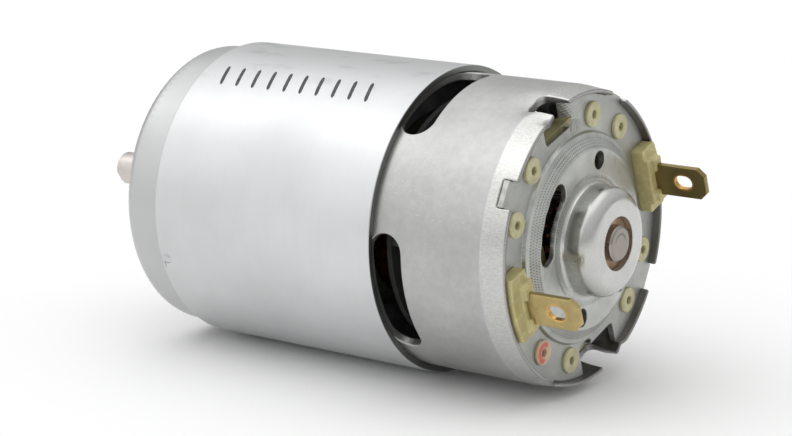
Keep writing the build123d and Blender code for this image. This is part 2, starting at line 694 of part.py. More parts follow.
def rear_thrust_washer():
    x1 = depth(COMMUTATOR_REAR) - SEAT
    x0 = depth(REAR_BUSH_DEPTH) + REAR_BUSH_LENGTH / 2 + END_PLAY
    return sleeve(x0, x1, SHAFT_BORE, WASHER_RADIUS)


def front_thrust_washer():
    x1 = FRONT_BUSH_X - FRONT_BUSH_LENGTH / 2 - END_PLAY
    return sleeve(x1 - WASHER_THICKNESS, x1, SHAFT_BORE, WASHER_RADIUS)


def front_spacer():
    x0 = depth(CORE_FRONT) + INSULATOR_THICKNESS + SEAT
    x1 = FRONT_BUSH_X - FRONT_BUSH_LENGTH / 2 - END_PLAY - WASHER_THICKNESS - SEAT
    return sleeve(x0, x1, SHAFT_BORE, SPACER_RADIUS)


def all_pieces():
    """Every node's name and solid."""
    pieces = {
        "can": can(),
        "flux_ring": flux_ring(),
        "rear_plate": rear_plate(),
        "brush_holder": brush_holder(),
        "front_bush": bush(FRONT_BALL_RADIUS, FRONT_BUSH_LENGTH, FRONT_BUSH_X),
        "front_bush_retainer": bush_retainer(FRONT_BALL_RADIUS, FRONT_BOSS_BORE, FRONT_BUSH_X, -1),
        "rear_bush": bush(REAR_BALL_RADIUS, REAR_BUSH_LENGTH, depth(REAR_BUSH_DEPTH)),
        "rear_bush_retainer": bush_retainer(REAR_BALL_RADIUS, REAR_BOSS_BORE, depth(REAR_BUSH_DEPTH), 1),
        "magnet_top": magnet(90),
        "magnet_bottom": magnet(270),
        "shaft": shaft(),
        "armature_core": armature_core(),
        "core_insulator_front": core_insulator("front"),
        "core_insulator_rear": core_insulator("rear"),
        "commutator_base": commutator_base(),
        "fan": fan(),
        "rear_thrust_washer": rear_thrust_washer(),
        "front_thrust_washer": front_thrust_washer(),
        "front_spacer": front_spacer(),
    }
    for name, angle in (("right", 0), ("left", 180)):
        pieces["terminal_" + name] = terminal(angle)
        pieces["brush_box_" + name] = brush_box(angle)
        pieces["carbon_brush_" + name] = carbon_brush(angle)
        pieces["brush_spring_" + name] = brush_spring(angle)
        pieces["pigtail_" + name] = pigtail(angle)
        pieces["magnet_clip_" + name] = magnet_clip(angle)
    for number in range(POLES):
        pieces[f"coil_{number + 1}"] = coil(number)
    for number in range(COMMUTATOR_BARS):
        pieces[f"commutator_bar_{number + 1}"] = commutator_bar(number)
    return pieces


os.makedirs("parts", exist_ok=True)
for node, solid in all_pieces().items():
    export_step(Rot(X=-LIE_ANGLE) * solid, f"parts/{node}.step")
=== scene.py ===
"""The looks of a brushed direct-current motor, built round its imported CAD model.

Metres, in the CAD's own frame: +X along the shaft, +Z up, the motor lying on its ring.  Angles
are degrees round the shaft as seen from the rear, from the right terminal (0) over the top (90)
to the left terminal (180).  A sheet-metal piece is made from its section, a line of rounded
corners, and from the borders and holes cut in it, with every cut edge rounded over.
"""

import json
import math
import random

import bpy
import numpy as np
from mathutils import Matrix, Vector, geometry


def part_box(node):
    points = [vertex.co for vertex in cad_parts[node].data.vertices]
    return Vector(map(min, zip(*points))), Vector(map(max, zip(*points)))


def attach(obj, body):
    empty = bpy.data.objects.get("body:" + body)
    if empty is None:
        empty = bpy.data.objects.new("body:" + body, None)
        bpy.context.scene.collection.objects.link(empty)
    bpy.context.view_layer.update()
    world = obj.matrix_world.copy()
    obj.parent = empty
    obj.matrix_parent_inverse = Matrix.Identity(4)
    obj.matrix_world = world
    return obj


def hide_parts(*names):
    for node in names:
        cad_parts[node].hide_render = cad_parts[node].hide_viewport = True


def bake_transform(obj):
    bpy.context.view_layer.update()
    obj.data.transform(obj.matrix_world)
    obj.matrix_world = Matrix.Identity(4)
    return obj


MM = 0.001
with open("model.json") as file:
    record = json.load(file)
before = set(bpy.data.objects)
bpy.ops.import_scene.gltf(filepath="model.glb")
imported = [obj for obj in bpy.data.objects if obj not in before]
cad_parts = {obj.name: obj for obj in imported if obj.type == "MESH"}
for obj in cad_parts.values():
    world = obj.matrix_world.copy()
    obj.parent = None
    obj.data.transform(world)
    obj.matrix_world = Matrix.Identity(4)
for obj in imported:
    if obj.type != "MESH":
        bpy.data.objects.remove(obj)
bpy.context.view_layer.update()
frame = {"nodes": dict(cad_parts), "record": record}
random.seed(7)

# ---- places read from the frame ----
LIE_ANGLE = 20.0  # how far the terminals' line is turned above level
REAR, BOSS_END = (corner.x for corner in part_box("can"))  # the rear rim and the front boss
RING_REAR, RING_FRONT = (corner.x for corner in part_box("flux_ring"))
SHAFT_REAR, SHAFT_FRONT = (corner.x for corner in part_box("shaft"))
TAB_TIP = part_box("terminal_left")[0].x
PLATE_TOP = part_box("rear_plate")[0].x
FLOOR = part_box("flux_ring")[0].z


def depth(distance):
    """The X of a place so many millimetres forward of the rear rim."""
    return REAR + distance * MM


# ---- sizes that several pieces share ----
HOLE = 3.72 * MM  # the radius of the hole for the shaft in both bosses
CAN_RADIUS, CAN_WALL = 21 * MM, 1.2 * MM
LIP = depth(3.7)  # where the swaged lip starts
RING_RADIUS, RING_WALL = 22.02 * MM, 1.0 * MM
RING_SEAM = 310  # the angle of the gap in the rolled ring
FLANGE, SEAT, DISC = depth(1.1), depth(2.1), depth(-0.6)  # levels of the end plate
PLATE = 1 * MM
RIM_NOTCHES = (46.5, 133.5, 226.5, 313.5)
CRIMPS = (90, 270)
STAKES = [middle + side * off for middle in (0, 180) for off in (36, 62) for side in (-1, 1)]
STAKE_CIRCLE, MARKED_STAKE = 17.05, 216
DOTS, DIMPLES = 210, 140  # fine dots in a row round the cone, and dimples round the boss


def off_shaft(angle, out, across=0.0):
    """(y, z) of a place that far out from the shaft at an angle, and that far across there."""
    turn = math.radians(angle + LIE_ANGLE)
    y = -out * math.cos(turn) + across * math.sin(turn)
    return y, out * math.sin(turn) + across * math.cos(turn)


# ---- lines and borders ----
def lengths(line):
    """The distance between each point of a line and the next."""
    return np.linalg.norm(np.diff(line, axis=0), axis=1)


def turns_left(a, b):
    """Whether a closed flat line runs anticlockwise."""
    return np.sum(a * np.roll(b, -1) - np.roll(a, -1) * b) > 0


def trace(corners, step, arc_step=12.0, closed=False):
    """Points along straight runs joined by arcs.  Corners are (a, b, rounding)."""
    corners = list(corners)
    if closed:
        middle = (np.array(corners[0][:2]) + np.array(corners[-1][:2])) / 2
        corners = [(*middle, 0.0), *corners, (*middle, 0.0)]
    here = np.array(corners[0][:2], float)
    points = [here]
    for index in range(1, len(corners)):
        corner = np.array(corners[index][:2], float)
        rounding = corners[index][2] if index < len(corners) - 1 else 0.0
        come = (corner - here) / np.linalg.norm(corner - here)
        stop, go, turn = corner, come, 0.0
        if rounding:
            onward = np.array(corners[index + 1][:2], float) - corner
            go = onward / np.linalg.norm(onward)
            turn = math.acos(np.clip(come @ go, -1, 1))
            stop = corner - come * rounding * math.tan(turn / 2)
        run = np.linalg.norm(stop - here)
        count = max(1, math.ceil(run / step))
        points += [here + (stop - here) * k / count for k in range(1, count + 1)]
        here = stop
        if turn > 0:
            side = np.sign(come[0] * go[1] - come[1] * go[0])
            centre = stop + side * np.array([-come[1], come[0]]) * rounding
            count = max(2, math.ceil(math.degrees(turn) / arc_step))
            for k in range(1, count + 1):
                t = turn * k / count
                offset = (stop - centre) * math.cos(t) + come * rounding * math.sin(t)
                points.append(centre + offset)
            here = points[-1]
    points = np.array(points)
    points = points[np.concatenate([[True], lengths(points) > 1e-9])]
    return points[:-1] if closed else points


def circle_hole(angle, radius, size, count=40):
    """(angle, radius) of points round a hole in a flat face."""
    turn = 2 * math.pi * np.arange(count) / count
    out = radius + size * np.cos(turn)
    across = size * np.sin(turn)
    return np.stack([angle + np.degrees(np.arctan2(across, out)), np.hypot(out, across)], -1)


def slot_line(long, half, step):
    """A flat slot with round ends, so far from its middle to its ends and to its sides."""
    corners = [(-long, -half), (long, -half), (long, half), (-long, half)]
    return trace([(a, b, half * 0.999) for a, b in corners], step, closed=True)


def arc_hole(angle, radius, width, span, step):
    """(angle, radius) of points round a curved slot with round ends in a flat face."""
    line = slot_line(math.radians(span / 2) * radius + width / 2, width / 2, step)
    return np.stack([angle + np.degrees(line[:, 0] / radius), radius + line[:, 1]], -1)


def notched_circle(radius, notches, step):
    """(angle, radius) round a circle that straight-sided notches cut into.

    A notch is (angle, half width, the radius of its floor, corner rounding).
    """
    points = []
    notches = sorted(notches)
    run_on, mouth_rounding = 1.2 * MM, 0.25 * MM
    for index, (angle, half, floor, rounding) in enumerate(notches):
        mouth = math.sqrt(radius**2 - half**2)
        start = math.asin(half / radius) + run_on / radius
        a, b = radius * math.cos(start), radius * math.sin(start)
        corners = [(a, -b, 0), (mouth, -half, mouth_rounding), (floor, -half, rounding)]
        corners += [(floor, half, rounding), (mouth, half, mouth_rounding), (a, b, 0)]
        line = trace(corners, step, 20)
        here = angle + np.degrees(np.arctan2(line[:, 1], line[:, 0]))
        points.append(np.stack([here, np.hypot(line[:, 0], line[:, 1])], -1))
        onward = notches[(index + 1) % len(notches)]
        stop = onward[0] - math.degrees(math.asin(onward[1] / radius) + run_on / radius)
        if stop < here[-1]:
            stop += 360
        count = max(2, round(math.radians(stop - here[-1]) * radius / step))
        between = here[-1] + (stop - here[-1]) * np.arange(1, count) / count
        points.append(np.stack([between, np.full(count - 1, radius)], -1))
    return np.concatenate(points)


def rim_line(radius, v_end, notches, step):
    """(angle, v) along a rim that square notches cut into: (angle, half width, cut, rounding)."""
    corners = []
    size = math.radians(1) * radius
    for angle, half, cut, rounding in notches:
        middle = angle * size
        corners += [(middle - half, v_end, 0.3 * MM), (middle - half, v_end - cut, rounding)]
        corners += [(middle + half, v_end - cut, rounding), (middle + half, v_end, 0.3 * MM)]
    start = (0.0, v_end, 0)
    line = trace([start, *corners, (360 * size, v_end, 0)], step, 20)[:-1]
    return np.stack([line[:, 0] / size, line[:, 1]], -1)


def face_points(section, points, low, high):
    """(angle, v) of (angle, radius) points on the part of the section between two distances."""
    part = (section.v >= low - 1e-9) & (section.v <= high + 1e-9)
    order = np.argsort(section.r[part])
    v = np.interp(points[:, 1], section.r[part][order], section.v[part][order])
    return np.stack([points[:, 0], v], -1)


def wall_slot(angle, v, width, span, radius, step):
    """(angle, v) round a slot with round ends that runs round a wall."""
    line = slot_line(math.radians(span / 2) * radius, width / 2, step)
    return np.stack([angle + np.degrees(line[:, 0] / radius), v + line[:, 1]], -1)


def full_circle(v, count):
    """(angle, v) round the whole shaft."""
    return np.stack([np.arange(count) * 360 / count, np.full(count, v)], -1)


# ---- surfaces ----
class Section:
    """A line of rounded corners (x, radius, rounding), and the distance v along it."""

    def __init__(self, corners, grid_step):
        line = trace(corners, 0.03 * MM, 1.0)
        self.x, self.r = line[:, 0], line[:, 1]
        self.v = np.concatenate([[0], np.cumsum(lengths(line))])
        coarse = lengths(trace(corners, grid_step, 9.0))
        self.stations = np.concatenate([[0], np.cumsum(coarse)]) * self.v[-1] / coarse.sum()
        ends = trace(corners, 1.0, 179.0)
        self.marks = [self.v[np.argmin(np.hypot(self.x - x, self.r - r))] for x, r in ends]

    def at(self, v):
        """X and radius at a distance along the line."""
        return np.interp(v, self.v, self.x), np.interp(v, self.v, self.r)

    def v_at(self, line, wanted, low, high):
        """The v between low and high at which the line's X or radius is the wanted one."""
        part = (self.v >= low) & (self.v <= high)
        return self.v[part][np.argmin(np.abs(line[part] - wanted))]


class Turned:
    """A sheet turned about the shaft.  u is the angle in degrees, v runs along the section."""

    def __init__(self, outer, inner, wraps=True, push=None):
        self.outer, self.inner, self.wraps, self.push = outer, inner, wraps, push
        self.hub = 4 * MM
        self.size = outer.r.max()

    def stretch(self, v):
        """Metres along the sheet for one unit of u."""
        return np.radians(1) * np.maximum(self.outer.at(v)[1], 0.1 * MM)

    def flat(self, u, v):
        """The sheet laid out flat: as a disc where it goes all the way round, else unrolled."""
        if self.wraps:
            turn = np.radians(u)
            return np.stack([(self.hub + v) * np.cos(turn), (self.hub + v) * np.sin(turn)], -1)
        return np.stack([np.radians(u) * self.size, v], -1)

    def unflat(self, a, b):
        if self.wraps:
            return math.degrees(math.atan2(b, a)) % 360, math.hypot(a, b) - self.hub
        return math.degrees(a / self.size), b

    def raw(self, u, v, side):
        """Points on one of the skins before they are pushed."""
        section = self.inner if side else self.outer
        if side:
            v = np.interp(v, self.outer.marks, self.inner.marks)
        x, r = section.at(v)
        turn = np.radians(u + LIE_ANGLE)
        return np.stack([x, -r * np.cos(turn), r * np.sin(turn)], -1)

    def place(self, u, v, side):
        """Points on the outer skin (side 0) or the inner one (side 1)."""
        point = self.raw(u, v, side)
        if self.push is None:
            return point
        return point + self.normal(u, v, self.raw, 0) * self.push(u, v)[..., None]

    def normal(self, u, v, place, side):
        """Normals that point out of the sheet's outer skin."""
        small_v, small_u = 0.03 * MM, 0.05
        along = place(u, v + small_v, side) - place(u, v - small_v, side)
        across = place(u + small_u, v, side) - place(u - small_u, v, side)
        normal = np.cross(along, across)
        return normal / (np.linalg.norm(normal, axis=-1, keepdims=True) + 1e-15)


class Flat:
    """A flat sheet.  u and v are metres along two directions, from a corner."""

    def __init__(self, origin, along_u, along_v, thickness):
        self.origin, self.u, self.v = (np.array(a, float) for a in (origin, along_u, along_v))
        self.out = np.cross(self.v, self.u)
        self.thickness, self.wraps = thickness, False

    def stretch(self, v):
        return np.ones_like(v)

    def flat(self, u, v):
        return np.stack([u, v], -1)

    def unflat(self, a, b):
        return a, b

    def place(self, u, v, side):
        point = self.origin + u[..., None] * self.u + v[..., None] * self.v
        return point - self.out * self.thickness * side

    def normal(self, u, v, place, side):
        return np.broadcast_to(self.out, (len(u), 3))


def moved(surface, points, into, distance):
    """(u, v) points moved along the sheet by a distance in metres."""
    scale = surface.stretch(points[:, 1])
    return points + np.stack([into[:, 0] * distance / scale, into[:, 1] * distance], -1)


def way_in(surface, points, kind):
    """The direction along the sheet that leads from each point of a border into the sheet."""
    scale = surface.stretch(points[:, 1])
    step = np.roll(points, -1, 0) - np.roll(points, 1, 0)
    if surface.wraps:
        step[:, 0] = (step[:, 0] + 180) % 360 - 180
    tangent = np.stack([step[:, 0] * scale, step[:, 1]], -1)
    tangent /= np.linalg.norm(tangent, axis=1, keepdims=True)
    left = np.stack([-tangent[:, 1], tangent[:, 0]], -1)
    if kind in ("low", "high"):
        return left if kind == "low" else -left
    u, v = (points[:, 0] - points[0, 0]) * scale.mean(), points[:, 1]
    return left if turns_left(u, v) == (kind == "outside") else -left


def fill(surface, insets, kinds, grid):
    """The (u, v) of a sheet's points, its triangles, and the numbers of each border's points."""
    rings, loops, start = [], [], 0
    for inset in insets:
        ring = list(range(start, start + len(inset)))
        a, b = surface.flat(inset[:, 0], inset[:, 1]).T
        rings.append(ring)
        loops.append(ring if turns_left(a, b) else ring[::-1])
        start += len(inset)
    border = np.concatenate(insets)
    border_at = surface.place(border[:, 0], border[:, 1], 0)
    grid_at = surface.place(grid[:, 0], grid[:, 1], 0)
    clear = np.ones(len(grid), bool)
    batch = 3000
    for low in range(0, len(grid), batch):
        part = slice(low, low + batch)
        gap = np.linalg.norm(grid_at[part, None] - border_at[None], axis=-1).min(1)
        clear[part] = gap > 0.22 * MM
    every = np.concatenate([border, grid[clear]])
    flat = surface.flat(every[:, 0], every[:, 1]) / MM
    found = geometry.delaunay_2d_cdt([Vector(p) for p in flat], [], loops, 0, 1e-6, True)
    places, _, triangles, origins, _, owners = found
    solid = {k for k, kind in enumerate(kinds) if kind in ("high", "outside")}
    void = {k for k, kind in enumerate(kinds) if kind in ("low", "hole")}
    kept = [
        tri for tri, own in zip(triangles, owners) if solid & set(own) and not void & set(own)
    ]
    new_of = {old: new for new, olds in enumerate(origins) for old in olds}
    used = sorted({k for tri in kept for k in tri} | {new_of[k] for ring in rings for k in ring})
    rename = {old: new for new, old in enumerate(used)}
    where = []
    for new in used:
        if origins[new]:
            where.append(every[origins[new][0]])
        else:
            where.append(surface.unflat(places[new][0] * MM, places[new][1] * MM))
    triangles = [[rename[k] for k in tri] for tri in kept]
    rings = [np.array([rename[new_of[k]] for k in ring]) for ring in rings]
    return np.array(where, float), triangles, rings


def sheet(surface, edge, borders, grid, outward=1):
    """Vertices, faces and normals of a sheet whose cut edges are rounded by that radius.

    borders holds (points, kind), where points are (u, v) round a closed line and kind is "low"
    or "high" for one that goes all the way round the shaft, "outside", or "hole".
    grid is the array of (u, v) that shape the sheet between its borders.
    """
    kinds = [kind for _, kind in borders]
    lines = [np.asarray(points, float) for points, _ in borders]
    intos = [way_in(surface, points, kind) for points, kind in zip(lines, kinds)]
    insets = [moved(surface, points, into, edge) for points, into in zip(lines, intos)]
    where, triangles, rings = fill(surface, insets, kinds, grid)
    u, v = where.T
    outer, inner = surface.place(u, v, 0), surface.place(u, v, 1)
    normal = surface.normal(u, v, surface.place, 0) * outward
    inner_normal = -surface.normal(u, v, surface.place, 1) * outward
    count = len(where)
    vertices, normals, faces = [outer, inner], [normal, inner_normal], []
    for a, b, c in triangles:
        if np.cross(outer[b] - outer[a], outer[c] - outer[a]) @ normal[a] < 0:
            b, c = c, b
        faces += [(a, b, c), (count + a, count + c, count + b)]
    total = 2 * count
    arcs = [math.pi / 2 * k / 4 for k in range(1, 5)]
    for ids, inset, into in zip(rings, insets, intos):
        rim = moved(surface, inset, into, -edge)
        away = surface.place(rim[:, 0], rim[:, 1], 0) - surface.place(inset[:, 0], inset[:, 1], 0)
        top, foot, out = outer[ids], inner[ids], normal[ids]
        away -= out * np.sum(away * out, 1, keepdims=True)
        away /= np.linalg.norm(away, axis=1, keepdims=True) + 1e-15
        rows = [ids]
        for base, sign, turns in ((top, -1, arcs), (foot, 1, arcs[::-1])):
            for t in turns:
                down = sign * edge * (1 - math.cos(t))
                vertices.append(base + away * edge * math.sin(t) + out * down)
                normals.append(away * math.sin(t) - sign * out * math.cos(t))
                rows.append(np.arange(total, total + len(ids)))
                total += len(ids)
        rows.append(count + ids)
        flip = np.cross(top[1] - top[0], away[0]) @ out[0] < 0
        for row, onward in zip(rows, rows[1:]):
            for k in range(len(ids)):
                n = (k + 1) % len(ids)
                quad = (row[k], onward[k], onward[n], row[n])
                faces.append(quad if flip else quad[::-1])
    return np.concatenate(vertices), faces, np.concatenate(normals)


def ring_grid(section, count, bands=()):
    """Grid points round the whole shaft, with finer rows in each band (low v, high v, count)."""
    rows = [(v, count) for v in section.stations]
    for low, high, fine in bands:
        rows = [(v, n) for v, n in rows if not low <= v <= high]
        radius = section.at((low + high) / 2)[1]
        steps = max(2, round((high - low) / (2 * math.pi * radius / fine)))
        rows += [(low + (high - low) * k / steps, fine) for k in range(steps + 1)]
    points = []
    for row, (v, most) in enumerate(rows):
        if most == count:
            most = max(count // 2, round(count * section.at(v)[1] / section.r.max()))
        shift = 0.5 * (row % 2)
        points += [((k + shift) * 360 / most, v) for k in range(most)]
    return np.array(points)


def add_piece(name, shape, body, slot, stands_for=(), look=None):
    """A smooth mesh object that rides on a body, in its slot's look unless it has its own.

    shape is the vertices and faces, and the normals too if they are known.
    """
    vertices, faces = shape[0], shape[1]
    mesh = bpy.data.meshes.new(name)
    mesh.from_pydata(np.asarray(vertices).tolist(), [], [tuple(int(k) for k in f) for f in faces])
    mesh.update()
    mesh.shade_smooth()
    if len(shape) > 2:
        mesh.normals_split_custom_set_from_vertices(np.asarray(shape[2]).tolist())
    else:
        mesh.set_sharp_from_angle(angle=math.radians(35))
    piece = bpy.data.objects.new(name, mesh)
    bpy.context.scene.collection.objects.link(piece)
    paint(piece, look or LOOKS[slot])
    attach(piece, body)
    if stands_for:
        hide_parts(*stands_for)
    return piece


def lathe(line, count, place, closed=False):
    """Vertices and faces of a line of (height, radius) turned round an axis.

    place(height, radius, turn) gives the points, with turn in radians.  A closed line comes back
    to its start; an open one that starts or ends at radius 0 is closed by a point.
    """
    turn = 2 * math.pi * np.arange(count) / count
    vertices, faces, rows = [], [], []
    for height, radius in line:
        size = 1 if radius < 1e-9 else count
        rows.append(range(len(vertices), len(vertices) + size))
        vertices += list(place(height, radius, turn[:size]))
    pairs = list(zip(rows, rows[1:]))
    if closed:
        pairs.append((rows[-1], rows[0]))
    for low, high in pairs:
        for k in range(count):
            n = (k + 1) % count
            quad = low[k % len(low)], low[n % len(low)], high[n % len(high)], high[k % len(high)]
            faces.append(list(dict.fromkeys(quad)))
    return np.array(vertices), faces


def beside(angle, circle):
    """A place function for pieces turned round a line beside the shaft, x forward."""

    def place(height, radius, turn):
        y, z = off_shaft(angle, circle + radius * np.cos(turn), radius * np.sin(turn))
        return np.stack([np.broadcast_to(height, y.shape), y, z], -1)

    return place


def on_shaft(height, radius, turn):
    """The place function for pieces turned round the shaft itself."""
    here = np.radians(LIE_ANGLE) + turn
    y, z = -radius * np.cos(here), radius * np.sin(here)
    return np.stack([np.broadcast_to(height, y.shape), y, z], -1)


# ---- materials ----
class Look:
    """A material made of nodes, with its patterns laid out on the object's own coordinates."""

    def __init__(self, name, color, roughness, metallic=0.0, **plain):
        self.material = bpy.data.materials.new(name)
        self.material.use_nodes = True
        self.tree = self.material.node_tree
        self.shader = self.tree.nodes["Principled BSDF"]
        self.shader.inputs["Base Color"].default_value = (*color, 1)
        self.shader.inputs["Roughness"].default_value = roughness
        self.shader.inputs["Metallic"].default_value = metallic
        for socket, value in plain.items():
            self.shader.inputs[socket.replace("_", " ")].default_value = value
        self.object = self.put("ShaderNodeTexCoord", {}).outputs["Object"]
        self.x, self.y, self.z = self.put("ShaderNodeSeparateXYZ", {0: self.object}).outputs

    def put(self, kind, inputs, **settings):
        """A node with its settings and inputs.  An input is a value or another node's output."""
        node = self.tree.nodes.new(kind)
        for key, value in settings.items():
            setattr(node, key, value)
        for key, value in inputs.items():
            if isinstance(value, bpy.types.NodeSocket):
                self.tree.links.new(value, node.inputs[key])
            else:
                node.inputs[key].default_value = value
        return node

    def math(self, operation, first, second=0.0):
        node = self.put("ShaderNodeMath", {0: first, 1: second}, operation=operation)
        return node.outputs[0]

    def plus(self, first, second):
        return self.math("ADD", first, second)

    def less(self, first, second):
        return self.math("SUBTRACT", first, second)

    def times(self, first, *others):
        for other in others:
            first = self.math("MULTIPLY", first, other)
        return first

    def far(self, first, second):
        """The distance of a place from the origin, from its distances along two axes."""
        squares = self.plus(self.math("POWER", first, 2), self.math("POWER", second, 2))
        return self.math("SQRT", squares)

    def noise(self, size, detail=3.0, stretch=(1, 1, 1), roughness=0.5):
        """Noise from 0 to 1 with features about that many metres across."""
        scaled = self.put("ShaderNodeMapping", {"Vector": self.object, "Scale": stretch})
        inputs = {"Vector": scaled.outputs[0], "Scale": 1 / size, "Detail": detail}
        inputs["Roughness"] = roughness
        return self.put("ShaderNodeTexNoise", inputs).outputs[0]

    def spread(self, value, low, high, to_low=0.0, to_high=1.0):
        """The value mapped from low..high to another range, and held at its ends."""
        inputs = {0: value, 1: low, 2: high, 3: to_low, 4: to_high}
        return self.put("ShaderNodeMapRange", inputs).outputs[0]

    def mix(self, factor, first, second):
        """A colour between two others."""
        inputs = {0: factor}
        for key, value in ((6, first), (7, second)):
            inputs[key] = value if isinstance(value, bpy.types.NodeSocket) else (*value, 1)
        return self.put("ShaderNodeMix", inputs, data_type="RGBA").outputs[2]

    def near(self, place, reach, stretch=(1, 1, 1)):
        """1 at a place in the row's frame, falling to 0 at that distance from it."""
        moved = self.put("ShaderNodeVectorMath", {0: self.object, 1: place}, operation="SUBTRACT")
        inputs = {0: moved.outputs[0], 1: stretch}
        moved = self.put("ShaderNodeVectorMath", inputs, operation="MULTIPLY")
        far = self.put("ShaderNodeVectorMath", {0: moved.outputs[0]}, operation="LENGTH")
        return self.spread(far.outputs["Value"], 0, reach, 1, 0)

    def bump(self, height, distance, strength=1.0):
        inputs = {"Height": height, "Distance": distance, "Strength": strength}
        self.set("Normal", self.put("ShaderNodeBump", inputs).outputs[0])

    def set(self, socket, value):
        self.tree.links.new(value, self.shader.inputs[socket])

    def wear(self, color, roughness, size, change=0.15, rough_change=0.08):
        """Soft blotches that darken the colour a little and change how it shines."""
        blotch = self.noise(size)
        dark = tuple(c * (1 - change) for c in color)
        light = tuple(min(1.0, c * (1 + change)) for c in color)
        shade = self.mix(self.spread(blotch, 0.3, 0.7), dark, light)
        self.set("Base Color", shade)
        rough = self.spread(blotch, 0.3, 0.7, roughness + rough_change, roughness - rough_change)
        self.set("Roughness", rough)
        return shade


def around(angle, circle, distance):
    """A place in the row's frame: an angle, a radius in mm and a depth in mm."""
    return (depth(distance), *off_shaft(angle, circle * MM))


def plain_look(name, color, roughness, metallic, size, grain, change):
    """A finish with blotches and a fine grain, their sizes in mm."""
    look = Look(name, color, roughness, metallic)
    look.wear(color, roughness, size * MM, change)
    look.bump(look.noise(grain * MM, 2), grain * MM * 0.08)
    return look.material


def can_look():
    """Galvanised sheet: light flecks painted as a highlight in a band on the upper side, a
    burnished lip, a dark cut edge, painted shade inside the rim, lighter towards the front.
    """
    color = (0.47, 0.47, 0.465)
    look = Look("can_steel", color, 0.36, 0.92)
    shade = look.wear(color, 0.37, 9 * MM, 0.09, 0.05)
    radius = look.far(look.y, look.z)
    # Lighter towards the front.
    front = look.spread(look.x, depth(40), depth(45))
    shade = look.mix(look.times(front, 0.7), shade, (0.53, 0.535, 0.54))
    rear = look.spread(look.x, depth(21), depth(19))
    mottle = look.spread(look.noise(1.3 * MM, 6, (1, 1, 1), 0.7), 0.4, 0.62, 0, 0.30)
    shade = look.mix(look.times(mottle, rear), shade, (0.34, 0.34, 0.335))
    flecks = look.spread(look.noise(0.38 * MM, 5, (0.7, 1, 1), 0.7), 0.60, 0.70)
    patches = look.spread(look.noise(7 * MM, 2), 0.44, 0.60)
    # The light flecks are real spangle, but this band keeps them to the upper side: a painted
    # highlight.
    band = look.times(look.spread(look.z, -2 * MM, 6 * MM), look.spread(look.z, 20 * MM, 15 * MM))
    flecks_and_sheen = look.times(flecks, rear, band, patches, 0.55)
    shade = look.mix(flecks_and_sheen, shade, (0.80, 0.80, 0.79))
    swaged = look.spread(look.x, depth(3.75), depth(3.55))
    lip = look.times(swaged, look.spread(radius, 20.2 * MM, 20.4 * MM))
    scratch = look.noise(0.25 * MM, 4, (0.5, 1, 1), 0.6)
    burnish = look.mix(look.spread(scratch, 0.4, 0.65), (0.53, 0.53, 0.51), (0.62, 0.62, 0.60))
    shade = look.mix(look.times(lip, 0.85), shade, burnish)
    edge = look.times(look.spread(look.x, depth(0.32), depth(0.12)), 0.6)
    # Painted shade on the inner wall just inside the rim.
    inside = look.spread(radius, 20.35 * MM, 20.15 * MM)
    inside = look.times(inside, look.spread(look.x, depth(6), depth(4)))
    # Dark: the cut edge's own colour, together with the painted shade inside the rim.
    dark = look.times(look.math("MAXIMUM", edge, inside), 0.78)
    shade = look.mix(dark, shade, (0.18, 0.172, 0.162))
    look.set("Base Color", shade)
    rough = look.spread(look.noise(5 * MM), 0.3, 0.7, 0.42, 0.33)
    look.set("Roughness", look.less(rough, look.times(lip, 0.13)))
    fine = look.noise(0.18 * MM, 3, (0.4, 1, 1))
    look.bump(look.plus(fine, look.times(flecks_and_sheen, 0.6)), 0.010 * MM, 0.8)
    return look.material


def ring_look():
    """Satin zinc with rolling marks round it, faint stains, a knock, and painted shade on its rear
    end face.
    """
    color = (0.62, 0.625, 0.63)
    look = Look("ring_zinc", color, 0.34, 0.9)
    shade = look.wear(color, 0.36, 14 * MM, 0.05, 0.04)
    streaks = look.noise(0.5 * MM, 4, (1, 0.06, 0.06), 0.6)
    shade = look.mix(look.spread(streaks, 0.45, 0.75, 0, 0.09), shade, (0.50, 0.51, 0.52))
    stain = look.spread(look.noise(3.5 * MM, 4, (0.5, 1, 1)), 0.56, 0.70)
    stain = look.times(stain, look.spread(look.z, 17.5 * MM, 20.5 * MM))
    shade = look.mix(look.times(stain, 0.5), shade, (0.33, 0.33, 0.34))
    along = look.near(around(180.5, 22, 58.7), 0.75 * MM, (0.55, 1, 5))
    crack = look.math("MAXIMUM", along, look.near(around(181.5, 22, 59), 0.75 * MM, (5, 1, 0.6)))
    shade = look.mix(look.spread(crack, 0.35, 0.7, 0, 0.75), shade, (0.10, 0.10, 0.10))
    # Painted shade on the ring's rear end face.
    end = look.spread(look.x, RING_REAR + 0.12 * MM, RING_REAR + 0.02 * MM)
    end = look.times(end, look.spread(look.far(look.y, look.z), 21.97 * MM, 21.9 * MM))
    shade = look.mix(look.times(end, 0.8), shade, (0.13, 0.14, 0.12))
    look.set("Base Color", shade)
    look.bump(look.plus(streaks, look.noise(0.12 * MM, 2)), 0.003 * MM, 0.7)
    return look.material


